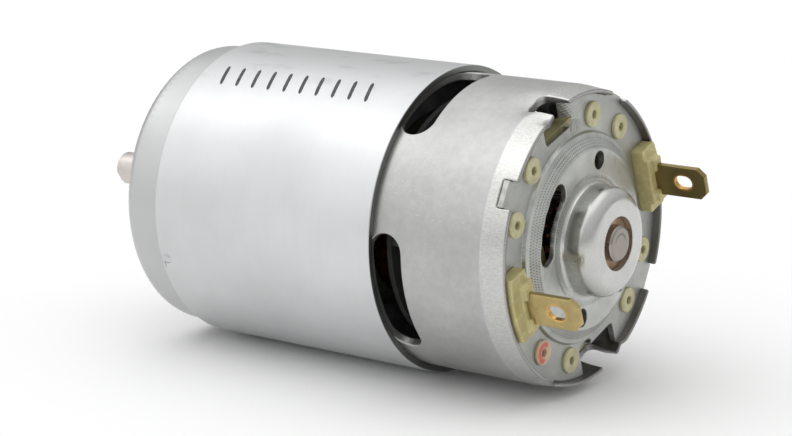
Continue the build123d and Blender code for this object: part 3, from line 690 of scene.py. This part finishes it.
def plate_look():
    """Zinc plate: hatched flange, dots on the cone, coined round the boss, smooth on it."""
    color = (0.50, 0.51, 0.485)
    look = Look("plate_steel", color, 0.34, 0.93)
    shade = look.wear(color, 0.36, 6 * MM, 0.14, 0.07)
    radius = look.far(look.y, look.z)
    flange = look.spread(radius, 14.6 * MM, 14.9 * MM)
    waves = []
    for lean in (math.radians(38), math.radians(-38)):
        per_metre = 2 * math.pi / (0.34 * MM)
        across = look.times(look.y, math.cos(lean) * per_metre)
        up = look.times(look.z, math.sin(lean) * per_metre)
        waves.append(look.math("SINE", look.plus(across, up)))
    crossed = look.spread(look.noise(7 * MM, 1), 0.45, 0.6, 0.1, 0.8)
    hatch = look.times(look.plus(waves[0], look.times(waves[1], crossed)), flange)
    grey = look.times(look.spread(hatch, -1.2, 1.2, 0.42, 0.0), flange)
    shade = look.mix(grey, shade, (0.20, 0.20, 0.18))
    turn = look.math("ARCTAN2", look.z, look.times(look.y, -1))
    turn = look.less(turn, math.radians(LIE_ANGLE))
    place = look.math("DIVIDE", look.less(radius, 12.66 * MM), 0.35 * MM)
    shift = look.times(look.math("MODULO", look.math("FLOOR", place), 2), math.pi)
    rows = look.less(0.5, look.times(look.math("COSINE", look.times(place, 2 * math.pi)), 0.5))
    spots = look.math("COSINE", look.plus(look.times(turn, DOTS), shift))
    dots = look.times(rows, look.spread(spots, -0.2, 0.8))
    cone = look.spread(radius, 12.55 * MM, 12.7 * MM)
    cone = look.times(cone, look.spread(radius, 14.15 * MM, 14.0 * MM))
    coined = look.math("COSINE", look.times(turn, DIMPLES))
    collar = look.math("ABSOLUTE", look.less(radius, 8.85 * MM))
    collar = look.spread(collar, 0.45 * MM, 0.25 * MM)
    collar = look.times(collar, look.spread(look.noise(0.8 * MM, 3), 0.35, 0.6, 0.25, 0.8))
    coined = look.times(look.spread(coined, -0.3, 1), collar)
    pits = look.math("MAXIMUM", look.times(dots, cone), coined)
    shade = look.mix(look.times(pits, 0.72), shade, (0.11, 0.11, 0.10))
    boss = look.spread(radius, 8.2 * MM, 7.8 * MM)
    shade = look.mix(look.times(boss, 0.6), shade, (0.62, 0.62, 0.60))
    smudge = look.spread(look.noise(1.6 * MM, 4), 0.55, 0.75, 0, 0.3)
    smudge = look.times(smudge, look.less(1, look.times(boss, 0.8)))
    shade = look.mix(smudge, shade, (0.24, 0.24, 0.21))
    look.set("Base Color", shade)
    rough = look.spread(look.noise(3 * MM), 0.3, 0.7, 0.42, 0.32)
    look.set("Roughness", look.less(rough, look.times(boss, 0.10)))
    grain = look.times(look.noise(0.15 * MM, 3), look.spread(boss, 0, 1, 0.35, 0.08))
    look.bump(look.plus(look.times(hatch, 0.5), grain), 0.03 * MM, 0.9)
    return look.material


def brass_look():
    """Tarnished brass, bare where the holes were cut, darker on the tab in the shade."""
    color = (0.45, 0.355, 0.16)
    look = Look("brass", color, 0.3, 0.95)
    shade = look.wear(color, 0.32, 2.5 * MM, 0.14, 0.08)
    tarnish = look.spread(look.noise(0.9 * MM, 4), 0.55, 0.72, 0, 0.5)
    shade = look.mix(tarnish, shade, (0.34, 0.23, 0.08))
    shade = look.mix(look.spread(look.y, 2 * MM, -2 * MM, 0, 0.8), shade, (0.20, 0.155, 0.055))
    hole = [look.near(around(angle, 17.5, -5.75), 1.75 * MM, (0.85, 1, 1)) for angle in (0, 180)]
    edge = look.spread(look.math("MAXIMUM", *hole), 0.10, 0.24, 0, 0.55)
    shade = look.mix(edge, shade, (0.80, 0.45, 0.13))
    look.set("Base Color", shade)
    look.bump(look.noise(0.12 * MM, 3, (0.15, 1, 1)), 0.012 * MM, 0.8)
    return look.material


def nylon_look(name, color, pale_color, painted=False):
    """Aged natural nylon, waxy and a little see-through, with painted shade inside the two plate
    notches.

    The painted look adds a hook of red paint to the marked stake.
    """
    plain = {"Subsurface_Weight": 0.35, "Subsurface_Scale": 0.9 * MM}
    look = Look(name, color, 0.42, 0.0, **plain)
    look.shader.inputs["Subsurface Radius"].default_value = (1.0, 0.8, 0.35)
    shade = look.wear(color, 0.42, 2.2 * MM, 0.12, 0.07)
    pale = look.spread(look.noise(1.1 * MM, 3), 0.5, 0.72, 0, 0.55)
    shade = look.mix(pale, shade, pale_color)
    # Painted shade inside the two plate notches, where the holder lies in the dark.
    inner = [look.near(around(angle, 15.6, 2.5), 4.2 * MM) for angle in CRIMPS]
    inner = look.math("MAXIMUM", *inner)
    shade = look.mix(look.spread(inner, 0.05, 0.3, 0, 0.7), shade, (0.12, 0.115, 0.07))
    if painted:
        centre = around(MARKED_STAKE, STAKE_CIRCLE, 0.55)
        up = look.less(look.z, centre[2])
        side = look.less(look.y, centre[1])
        ragged = look.times(look.less(look.noise(0.5 * MM, 3), 0.5), 1.4)
        turn = look.less(look.math("ARCTAN2", up, side), 0.35)
        arm = look.math("ABSOLUTE", look.plus(turn, ragged))
        away = look.plus(look.far(up, side), look.times(ragged, 0.25 * MM))
        hook = look.times(look.spread(arm, 2.0, 1.75), look.spread(away, 0.7 * MM, 0.85 * MM))
        hook = look.times(hook, look.spread(away, 1.6 * MM, 1.4 * MM))
        pink = look.mix(0.5, shade, (0.66, 0.42, 0.34))
        shade = look.mix(look.times(hook, 0.9), pink, (0.60, 0.10, 0.07))
    look.set("Base Color", shade)
    look.bump(look.noise(0.35 * MM, 3), 0.015 * MM, 0.7)
    return look.material


def shaft_look():
    """Ground steel with fine rings round it, and a centre mark on its rear end."""
    color = (0.58, 0.53, 0.50)
    look = Look("shaft_steel", color, 0.26, 0.95)
    shade = look.wear(color, 0.27, 3 * MM, 0.08, 0.05)
    rings = look.noise(0.1 * MM, 3, (1, 0.03, 0.03))
    shade = look.mix(look.spread(rings, 0.4, 0.7, 0, 0.12), shade, (0.50, 0.47, 0.45))
    radius = look.far(look.y, look.z)
    face = look.spread(look.x, SHAFT_REAR + 0.5 * MM, SHAFT_REAR + 0.1 * MM)
    line = look.math("ABSOLUTE", look.less(radius, 1.35 * MM))
    line = look.times(look.spread(line, 0.22 * MM, 0.1 * MM), look.spread(look.z, 0, 0.8 * MM))
    mark = look.times(line, face, 0.6)
    shade = look.mix(look.times(face, 0.85), shade, (0.27, 0.245, 0.215))
    shade = look.mix(mark, shade, (0.12, 0.11, 0.10))
    look.set("Base Color", shade)
    look.bump(rings, 0.004 * MM, 0.6)
    return look.material


def copper_look():
    """Commutator copper: near black as painted shade for the inside of the motor, with painted
    glints in patches at the bars' rear ends.
    """
    # Painted shade: the copper is near black because it lies in the dark inside the motor.
    shaded_copper = (0.03, 0.013, 0.009)
    look = Look("copper", shaded_copper, 0.45, 0.6)
    shade = look.wear(shaded_copper, 0.4, 1 * MM, 0.25)
    # Painted glints: bright patches at the bars' rear ends.
    cut = look.spread(look.x, depth(3.6), depth(3.5))
    cut = look.times(cut, look.spread(look.noise(0.9 * MM, 2), 0.54, 0.60))
    look.set("Base Color", look.mix(cut, shade, (0.75, 0.30, 0.14)))
    look.bump(look.noise(0.1 * MM, 3, (1, 0.1, 0.1)), 0.01 * MM)
    return look.material


# colour, roughness, metallic, sizes of the blotches and the grain in mm, change of colour
PLAIN_LOOKS = {
    "bronze": ((0.36, 0.24, 0.16), 0.48, 0.85, 2, 0.15, 0.25),
    "spring_steel": ((0.5, 0.5, 0.52), 0.3, 0.95, 3, 0.1, 0.12),
    "ferrite": ((0.07, 0.07, 0.075), 0.75, 0.1, 3, 0.2, 0.3),
    "carbon": ((0.05, 0.05, 0.052), 0.5, 0.3, 1, 0.1, 0.3),
    "copper_braid": ((0.6, 0.3, 0.18), 0.4, 0.95, 0.3, 0.15, 0.4),
    "lamination_steel": ((0.3, 0.3, 0.31), 0.45, 0.8, 4, 0.2, 0.12),
    # fibre and enamelled_copper are painted near black: painted shade for the inside of the motor
    # seen through the vents.
    "fibre": ((0.05, 0.065, 0.04), 0.7, 0.0, 1, 0.15, 0.2),
    "enamelled_copper": ((0.14, 0.055, 0.02), 0.28, 0.8, 1, 0.4, 0.3),
    "phenolic": ((0.06, 0.045, 0.035), 0.5, 0.0, 1, 0.1, 0.2),
    "fan_plastic": ((0.04, 0.042, 0.04), 0.5, 0.0, 2, 0.2, 0.2),
    "washer_plastic": ((0.7, 0.69, 0.64), 0.45, 0.0, 2, 0.2, 0.12),
}
LOOKS = {
    "can_steel": can_look(),
    "ring_zinc": ring_look(),
    "plate_steel": plate_look(),
    "nylon": nylon_look("nylon", (0.49, 0.43, 0.20), (0.62, 0.57, 0.33)),
    "brass": brass_look(),
    "shaft_steel": shaft_look(),
    "copper": copper_look(),
    **{name: plain_look(name, *values) for name, values in PLAIN_LOOKS.items()},
}


def paint(piece, look):
    """Give a piece that one look."""
    piece.data.materials.clear()
    piece.data.materials.append(look)


SLOT_OF = {part["node"]: part["material_slot"] for part in frame["record"]["subparts"]}
for node, piece in frame["nodes"].items():
    for number in range(len(piece.material_slots)):
        piece.material_slots[number].material = LOOKS[SLOT_OF[node]]


# ---- the can, the ring and the end plate ----
def add_can():
    """The drawn cup: boss, face, wall and swaged lip, with its vents, notches and crimps."""
    boss, inside = BOSS_END, BOSS_END - CAN_WALL
    outer = Section([
        (boss, HOLE, 0), (boss, 8.75 * MM, 0.5 * MM), (0, 8.75 * MM, 0.5 * MM),
        (0, CAN_RADIUS, 2 * MM), (LIP, CAN_RADIUS, 0.5 * MM), (REAR, 20.55 * MM, 0),
    ], 1.1 * MM)
    inner = Section([
        (inside, HOLE, 0), (inside, 7.55 * MM, 0.3 * MM), (-CAN_WALL, 7.55 * MM, 1.2 * MM),
        (-CAN_WALL, 19.8 * MM, 0.8 * MM), (LIP, 19.8 * MM, 0.1 * MM), (REAR, 20.02 * MM, 0),
    ], 1.1 * MM)
    end = outer.v[-1]

    def push(u, v):
        """The wall pressed in at each crimp's floor, most at one side."""
        total = np.zeros_like(v)
        for angle in CRIMPS:
            side = (u - angle - 2) % 360
            side = np.where(side > 180, side - 360, side)
            across = np.radians(side) * CAN_RADIUS
            along = end - v
            bowl = np.exp(-((across / (2.6 * MM)) ** 2) - ((along - 4.4 * MM) / (1.5 * MM)) ** 2)
            curl = np.exp(-(((across - 2.9 * MM) / (0.9 * MM)) ** 2) - (along / (1.6 * MM)) ** 2)
            total += 0.75 * MM * bowl + 0.55 * MM * curl
        return total

    surface = Turned(outer, inner, push=push)
    notches = [(angle, 2 * MM, 2.12 * MM, 0.3 * MM) for angle in RIM_NOTCHES]
    notches += [(angle, 2.1 * MM, 4.6 * MM, 1.2 * MM) for angle in CRIMPS]
    rim = rim_line(CAN_RADIUS, end, sorted(notches), 0.5 * MM)
    borders = [(full_circle(0, 90), "low"), (rim, "high")]
    face_low = outer.v_at(outer.r, 9.5 * MM, 8 * MM, 30 * MM)
    face_high = outer.v_at(outer.r, 18.5 * MM, face_low, face_low + 12 * MM)
    holes = [circle_hole(angle, 14.5 * MM, 1.65 * MM) for angle in (0, 180)]
    holes += [arc_hole(angle, 12.6 * MM, 3.6 * MM, 34, 0.5 * MM) for angle in (45, 135, 225, 315)]
    borders += [(face_points(outer, points, face_low, face_high), "hole") for points in holes]
    v_vent = outer.v_at(outer.x, depth(19.05), face_high + 4 * MM, end)
    for angle in (0, 90, 180, 270):
        points = wall_slot(angle, v_vent, 5.2 * MM, 50.7, CAN_RADIUS, 0.6 * MM)
        borders.append((points, "hole"))
    grid = ring_grid(outer, 110, [(end - 7 * MM, end - 0.5 * MM, 220)])
    shape = sheet(surface, 0.2 * MM, borders, grid, outward=-1)
    add_piece("can_shell", shape, "housing", "can_steel", ["can"])


def add_ring():
    """The flux ring, rolled from strip, with a seam and a small knock."""
    outer, inner = (
        Section([(RING_REAR, radius, 0), (RING_FRONT, radius, 0)], 1.6 * MM)
        for radius in (RING_RADIUS, RING_RADIUS - RING_WALL)
    )
    end = outer.v[-1]

    def push(u, v):
        """A small knock at the front edge."""
        across = np.radians((u - 179 + 180) % 360 - 180) * RING_RADIUS
        dent = np.exp(-((across / (0.7 * MM)) ** 2) - ((v - end + 1.0 * MM) / (0.8 * MM)) ** 2)
        return -0.42 * MM * dent

    surface = Turned(outer, inner, wraps=False, push=push)
    gap = math.degrees(0.2 * MM / RING_RADIUS)
    start, stop = RING_SEAM + gap, RING_SEAM + 360 - gap
    turns = np.linspace(start, stop, 241)
    rise = np.linspace(0, end, 30)
    outline = [(u, 0) for u in turns] + [(stop, v) for v in rise[1:]]
    outline += [(u, end) for u in turns[::-1][1:]] + [(start, v) for v in rise[::-1][1:-1]]
    grid = ring_grid(outer, 110, [(end - 2.4 * MM, end - 0.3 * MM, 400)])
    grid[:, 0] += RING_SEAM
    shape = sheet(surface, 0.2 * MM, [(outline, "outside")], grid)
    add_piece("flux_ring_sleeve", shape, "housing", "ring_zinc", ["flux_ring"])


def add_dashes():
    """Ten slanted dashes of worn ink in a row along the ring."""
    count, pitch, steps = 10, 2.9, 12
    long_half, wide, slant, film = 2.0 * MM, 0.3 * MM, 0.55 * MM, 0.012 * MM
    vertices, faces = [], []
    for number in range(count):
        middle = depth(29 + pitch * number)
        base = len(vertices)
        for k in range(steps + 1):
            t = -1 + 2 * k / steps
            half = wide * math.sqrt(max(0.15, 1 - t**8))
            turn = math.radians(100.3 + LIE_ANGLE) - t * long_half / RING_RADIUS
            for side, height in ((-1, -film), (1, -film), (1, film), (-1, film)):
                out = RING_RADIUS + height
                x = middle + t * slant + side * half
                vertices.append((x, -out * math.cos(turn), out * math.sin(turn)))
        for low in range(base, base + 4 * steps, 4):
            for j in range(4):
                n = (j + 1) % 4
                faces.append((low + j, low + n, low + 4 + n, low + 4 + j))
        top = base + 4 * steps
        faces += [(base + 3, base + 2, base + 1, base), (top, top + 1, top + 2, top + 3)]
    look = Look("ink", (0.10, 0.10, 0.11), 0.55)
    worn = look.spread(look.noise(0.4 * MM, 4), 0.5, 0.75, 0, 0.5)
    look.set("Base Color", look.mix(worn, (0.035, 0.035, 0.04), (0.25, 0.25, 0.26)))
    shape = vertices, faces
    add_piece("ink_dashes", shape, "housing", "ring_zinc", look=look.material)


def add_plate():
    """The end plate: boss, disc, cone and flange, with its holes and its notched rim."""
    boss, under, disc_under = PLATE_TOP, PLATE_TOP + PLATE, DISC + PLATE
    outer = Section([
        (boss, HOLE, 0), (boss, 7.65 * MM, 2 * MM), (DISC, 7.65 * MM, 0.6 * MM),
        (DISC, 12.6 * MM, 0.4 * MM), (depth(0.42), 14.1 * MM, 0.2 * MM),
        (depth(0.5), 14.6 * MM, 0.15 * MM), (FLANGE, 14.8 * MM, 0.2 * MM), (FLANGE, 21 * MM, 0),
    ], 0.55 * MM)
    inner = Section([
        (under, HOLE, 0), (under, 6.65 * MM, 1 * MM), (disc_under, 6.65 * MM, 1.4 * MM),
        (disc_under, 12.2 * MM, 0.6 * MM), (depth(1.42), 13.4 * MM, 0.2 * MM),
        (depth(1.7), 13.8 * MM, 0.1 * MM), (SEAT, 14.2 * MM, 0.2 * MM), (SEAT, 21 * MM, 0),
    ], 0.55 * MM)
    end = outer.v[-1]
    disc_v = outer.v_at(outer.r, 8.85 * MM, 6 * MM, end)
    cone_low = outer.v_at(outer.r, 12.65 * MM, disc_v, end)
    cone_high = outer.v_at(outer.r, 14.05 * MM, disc_v, end)
    rows, notch_half = 4, 3.6 * MM

    def push(u, v):
        """Coined dimples, rows of fine dots on the cone, and one rolled side at each notch."""
        total = np.zeros_like(v)
        wave = 0.5 + 0.5 * np.cos(np.radians(u) * DIMPLES)
        band = np.clip(1 - ((v - disc_v) / (0.36 * MM)) ** 2, 0, 1)
        total -= (0.03 + 0.03 * wave) * MM * band
        place = (v - cone_low) / (cone_high - cone_low) * rows
        inside = np.clip(np.minimum(place, rows - place) * 4, 0, 1)
        shift = np.floor(place) % 2 * math.pi
        dots = 0.5 - 0.5 * np.cos(place * 2 * math.pi)
        dots = dots * (0.5 + 0.5 * np.cos(np.radians(u) * DOTS + shift))
        total -= 0.10 * MM * dots * inside
        radius = outer.at(v)[1]
        for angle in CRIMPS:
            turn = np.radians(u - angle)
            across = -radius * np.sin(turn) - notch_half
            roll = np.clip(1 - across / (2.4 * MM), 0, 1.1) ** 2.4
            reach = np.clip((radius - 14.9 * MM) / (1.8 * MM), 0, 1)
            near = np.cos(turn) > 0.7
            total -= 2.8 * MM * np.where(near & (across > -1 * MM), roll * reach**2, 0)
        return total

    surface = Turned(outer, inner, push=push)
    notches = [(angle, 4.9 * MM, 15.75 * MM, 0.3 * MM) for angle in (0, 180)]
    notches += [(angle, notch_half, 16 * MM, 0.8 * MM) for angle in CRIMPS]
    notches += [(angle, 1.9 * MM, 20.7 * MM, 0.2 * MM) for angle in RIM_NOTCHES]
    flange_low = outer.v_at(outer.r, 14.85 * MM, disc_v, end)
    rim = notched_circle(19.95 * MM, notches, 0.45 * MM)
    borders = [(full_circle(0, 90), "low"), (face_points(outer, rim, flange_low, end), "high")]
    holes = [circle_hole(angle, 10.9 * MM, 1.28 * MM) for angle in (60, 240)]
    holes += [arc_hole(angle, 10.95 * MM, 3.3 * MM, 42.3, 0.4 * MM) for angle in (139.35, 319.35)]
    borders += [(face_points(outer, line, disc_v - MM, cone_low), "hole") for line in holes]
    holes = [circle_hole(angle, STAKE_CIRCLE * MM, 1.25 * MM, 28) for angle in STAKES]
    borders += [(face_points(outer, line, flange_low, end), "hole") for line in holes]
    dimples = (disc_v - 0.45 * MM, disc_v + 0.45 * MM, 4 * DIMPLES)
    dots = (cone_low - 0.05 * MM, cone_high + 0.05 * MM, 4 * DOTS)
    grid = ring_grid(outer, 250, [dimples, dots])
    shape = sheet(surface, 0.12 * MM, borders, grid)
    add_piece("end_plate", shape, "housing", "plate_steel", ["rear_plate"])


# ---- the nylon holder ----
def prism(outline, low, high, angle):
    """A closed solid from an outline of (reach from the shaft, across) at one angle."""
    vertices = [(x, *off_shaft(angle, *point)) for x in (low, high) for point in outline]
    n = len(outline)
    faces = [tuple(range(n)), tuple(range(2 * n - 1, n - 1, -1))]
    faces += [(k, k + n, (k + 1) % n + n, (k + 1) % n) for k in range(n)]
    return vertices, faces


def oblong(inner, outer, half, middle=0.0):
    """A prism's outline between two reaches, from sizes in mm."""
    return [(inner * MM, (middle - half) * MM), (outer * MM, (middle - half) * MM),
            (outer * MM, (middle + half) * MM), (inner * MM, (middle + half) * MM)]


def soften(piece, voxel, rounds):
    """Overlapping solids joined into one moulded skin with softened edges."""
    remesh = piece.modifiers.new("join", "REMESH")
    remesh.mode, remesh.voxel_size = "VOXEL", voxel
    smooth = piece.modifiers.new("soften", "SMOOTH")
    smooth.factor, smooth.iterations = 0.5, rounds
    graph = bpy.context.evaluated_depsgraph_get()
    piece.data = bpy.data.meshes.new_from_object(piece.evaluated_get(graph))
    piece.modifiers.clear()
    piece.data.shade_smooth()


def add_block(name, angle):
    """A terminal's stepped block, with what stands behind the plate."""
    reach, half, inner = 19.88, 4.85, 15.8
    arc = [math.asin(half / reach) * (1 - 2 * k / 12) for k in range(13)]
    base = [(inner * MM, half * MM)]
    base += [(reach * MM * math.cos(t), reach * MM * math.sin(t)) for t in arc]
    base += [(inner * MM, -half * MM)]
    solids = [
        (base[::-1], -0.65, 2.3),  # the base, in the plate's notch
        (oblong(inner, 18.6, 3.5), -1.35, 0),  # the step that the tab comes out of
        (oblong(16.5, 18.4, 0.9, 2.4), -1.95, -1),  # two lugs beside the tab
        (oblong(16.5, 18.4, 0.9, -2.4), -1.95, -1),
        (oblong(13.2, 19.4, 4.8), 2.1, 4.8),  # the pad behind the plate
        (oblong(7.0, 14.0, 2.6), 2.3, 4.8),  # the arm over the brush
        (oblong(13.45, 17.1, 0.6, 3.2), 4.4, 8.9),  # two cheeks
        (oblong(13.45, 17.1, 0.6, -3.2), 4.4, 8.9),
    ]
    vertices, faces = [], []
    for outline, low, high in solids:
        more, sides = prism(outline, depth(low), depth(high), angle)
        faces += [tuple(k + len(vertices) for k in face) for face in sides]
        vertices += more
    piece = add_piece(name, (vertices, faces), "housing", "nylon", ["brush_holder"])
    soften(piece, 0.13 * MM, 5)
    paint(piece, LOOKS["nylon"])


def add_holder_ring():
    """The ring that joins the holder's blocks, cut back behind the plate's two notches."""
    front, inner, outer, soft = SEAT + 2 * MM, 13.4 * MM, 19.4 * MM, 0.2 * MM
    corners = [(SEAT, inner), (SEAT, outer), (front, outer), (front, inner)]
    line = trace([(*corner, soft) for corner in corners], 0.8 * MM, 30, closed=True)
    vertices, faces = lathe(line, 180, on_shaft, True)
    for angle in CRIMPS:
        out = np.array(off_shaft(angle, 1.0))
        across = vertices[:, 1:] @ np.array([out[1], -out[0]])
        reach = vertices[:, 1:] @ out
        high = reach - 16.35 * MM - np.clip(np.abs(across) - 4.6 * MM, 0, 1) * 2
        cut = (high > 0) & (reach > 0)
        vertices[cut, 1:] -= high[cut, None] * out
    add_piece("holder_ring", (vertices, faces), "housing", "nylon", ["brush_holder"])


def add_stakes():
    """The holder's stakes, each with a bored head that was melted over a little differently."""
    colors = (0.50, 0.47, 0.28), (0.62, 0.59, 0.42)
    plain = nylon_look("nylon_stakes", *colors)
    painted = nylon_look("nylon_marked", *colors, painted=True)
    bore, stem, foot = 0.6 * MM, 1.2 * MM, SEAT + 0.5 * MM
    for number, angle in enumerate(STAKES):
        wide = (1.83 - 0.06 * random.random()) * MM
        top = FLANGE - (0.55 - 0.06 * random.random()) * MM
        line = trace([
            (foot, bore, 0), (top, bore, 0.16 * MM), (top, 1.15 * MM, 0.3 * MM),
            (top + 0.08 * MM, wide, 0.2 * MM), (FLANGE, wide, 0.03 * MM),
            (FLANGE, stem, 0.03 * MM), (foot, stem, 0),
        ], 0.3 * MM, 15)
        shape = lathe(line, 48, beside(angle, STAKE_CIRCLE * MM), True)
        lean = [random.uniform(-0.03, 0.03) for _ in range(2)]
        centre = np.array(around(angle, STAKE_CIRCLE, 0.8))
        away = shape[0] - centre
        near_top = np.clip((FLANGE - shape[0][:, 0]) / (0.4 * MM), 0, 1)
        shape[0][:, 0] += near_top * (away[:, 1] * lean[0] + away[:, 2] * lean[1])
        look = painted if angle == MARKED_STAKE else plain
        add_piece(f"stake_{number + 1}", shape, "housing", "nylon", ["brush_holder"], look)


# ---- terminals and shaft ----
def add_terminal(side, angle):
    """A brass tab with its hole and bevelled tip, and the leg that goes on inside."""
    out = np.array([0, *off_shaft(angle, 1.0)])
    forward = np.array([1.0, 0, 0])
    across = np.cross(out, forward)
    thick, wide, leg, bevel = 0.8 * MM, 2.4 * MM, 1.8 * MM, 1.05 * MM
    surface = Flat(out * 17.9 * MM, across, forward, thick)
    tip, shoulder, foot = TAB_TIP, depth(3), depth(13.9)
    soft = 0.15 * MM
    outline = trace([
        (-wide + bevel, tip, soft), (wide - bevel, tip, soft), (wide, tip + bevel, soft),
        (wide, shoulder, soft), (leg, shoulder, soft), (leg, foot, soft), (-leg, foot, soft),
        (-leg, shoulder, soft), (-wide, shoulder, soft), (-wide, tip + bevel, soft),
    ], 0.35 * MM, 20, closed=True)
    middle, half, reach = depth(-5.75), 1.05 * MM, 1.35 * MM
    corners = [(-half, -reach), (half, -reach), (half, reach), (-half, reach)]
    hole = trace([(a, middle + b, half * 0.999) for a, b in corners], 0.25 * MM, 10, closed=True)
    steps = np.arange(0, foot - tip, 0.9 * MM) + tip + 0.5 * MM
    grid = np.array([(a * MM, x) for a in (-1.2, 0, 1.2) for x in steps])
    shape = sheet(surface, 0.12 * MM, [(outline, "outside"), (hole, "hole")], grid)
    name = "terminal_" + side
    add_piece(name + "_tab", shape, "housing", "brass", [name])


def add_brush_leads(side):
    """The spring and pigtail, which give way between the brush and the housing."""
    for kind, node in (("spring", "brush_spring_" + side), ("pigtail", "pigtail_" + side)):
        piece = bpy.data.objects.new(f"{kind}_{side}_shown", frame["nodes"][node].data.copy())
        bpy.context.scene.collection.objects.link(piece)
        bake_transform(piece)
        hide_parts(node)


def add_shaft():
    """The ground shaft, with bevelled ends, a groove and the flat in front of it."""
    radius, flat_x = 2.5 * MM, SHAFT_FRONT - 12 * MM
    bevel, groove = 0.3 * MM, 2.3 * MM
    corners = [
        (SHAFT_REAR, 0, 0), (SHAFT_REAR, radius - bevel, 0.05 * MM),
        (SHAFT_REAR + bevel, radius, 0.08 * MM), (flat_x - MM, radius, 0.04 * MM),
        (flat_x - MM, groove, 0.04 * MM), (flat_x, groove, 0.04 * MM), (flat_x, radius, 0.04 * MM),
        (SHAFT_FRONT - bevel, radius, 0.08 * MM), (SHAFT_FRONT, radius - bevel, 0.05 * MM),
        (SHAFT_FRONT, 0, 0),
    ]
    line = trace(corners, 1.5 * MM, 20)
    line[[0, -1], 1] = 0
    vertices, faces = lathe(line, 96, on_shaft)
    out = np.array(off_shaft(194, 1.0))
    high = vertices[:, 1:] @ out - 2.0 * MM
    flat = (vertices[:, 0] > flat_x - 0.01 * MM) & (high > 0)
    vertices[flat, 1:] -= high[flat, None] * out
    add_piece("ground_shaft", (vertices, faces), "rotor", "shaft_steel", ["shaft"])


add_can()
add_ring()
add_dashes()
add_plate()
add_holder_ring()
add_block("block_left", 180)
add_block("block_right", 0)
add_stakes()
add_terminal("left", 180)
add_terminal("right", 0)
add_brush_leads("left")
add_brush_leads("right")
add_shaft()


# ---- the floor, the light and the camera ----
def add_floor():
    """A plain pale floor that reaches past every view."""
    mesh = bpy.data.meshes.new("floor")
    reach = 12.0
    corners = [(-reach, -reach), (reach, -reach), (reach, reach), (-reach, reach)]
    mesh.from_pydata([(x, y, FLOOR) for x, y in corners], [], [(0, 1, 2, 3)])
    floor = bpy.data.objects.new("floor", mesh)
    bpy.context.scene.collection.objects.link(floor)
    look = Look("floor", (0.93, 0.93, 0.93), 0.9, 0.0)
    look.shader.inputs["Specular IOR Level"].default_value = 0.1
    paint(floor, look.material)


def add_world(horizon, overhead, lobes):
    """A plain studio: a level at the horizon, another overhead, and broad soft lights.

    A soft light is (direction, the cosines where it starts and is full, its strength).
    """
    world = bpy.data.worlds.new("studio")
    bpy.context.scene.world = world
    world.use_nodes = True
    nodes, links = world.node_tree.nodes, world.node_tree.links
    where = nodes.new("ShaderNodeTexCoord").outputs["Generated"]

    def level(direction, start, full, low, high):
        towards = nodes.new("ShaderNodeVectorMath")
        towards.operation = "DOT_PRODUCT"
        links.new(where, towards.inputs[0])
        towards.inputs[1].default_value = Vector(direction).normalized()
        ramp = nodes.new("ShaderNodeMapRange")
        ramp.interpolation_type = "SMOOTHSTEP"
        for number, value in enumerate((start, full, low, high), 1):
            ramp.inputs[number].default_value = value
        links.new(towards.outputs["Value"], ramp.inputs[0])
        return ramp.outputs[0]

    total = level((0, 0, 1), 0.0, 0.7, horizon, overhead)
    for direction, start, full, strength in lobes:
        add = nodes.new("ShaderNodeMath")
        links.new(total, add.inputs[0])
        links.new(level(direction, start, full, 0, strength), add.inputs[1])
        total = add.outputs[0]
    nodes["Background"].inputs["Color"].default_value = (1, 1, 1, 1)
    links.new(total, nodes["Background"].inputs["Strength"])


def add_camera():
    """The photograph's view, from behind and a little above."""
    azimuth, elevation, distance = math.radians(216.26), math.radians(12.43), 334.76 * MM
    target = Vector((-34.21 * MM, 0, -1.32 * MM))
    away = Vector((
        math.sin(azimuth) * math.cos(elevation),
        -math.cos(azimuth) * math.cos(elevation),
        math.sin(elevation),
    ))
    data = bpy.data.cameras.new("camera")
    data.lens, data.sensor_width = 104.8, 36
    data.clip_start, data.clip_end = 0.01, 20
    camera = bpy.data.objects.new("camera", data)
    bpy.context.scene.collection.objects.link(camera)
    camera.location = target + away * distance
    camera.rotation_euler = (-away).to_track_quat("-Z", "Y").to_euler()
    bpy.context.scene.camera = camera


add_floor()
add_world(0.48, 0.74, [
    ((0.2, 0.0, 1.0), 0.66, 0.92, 0.78),
    ((0.59, 0.61, 0.53), 0.66, 0.94, 0.62),
])
add_camera()
bpy.context.scene.view_settings.view_transform = "Standard"
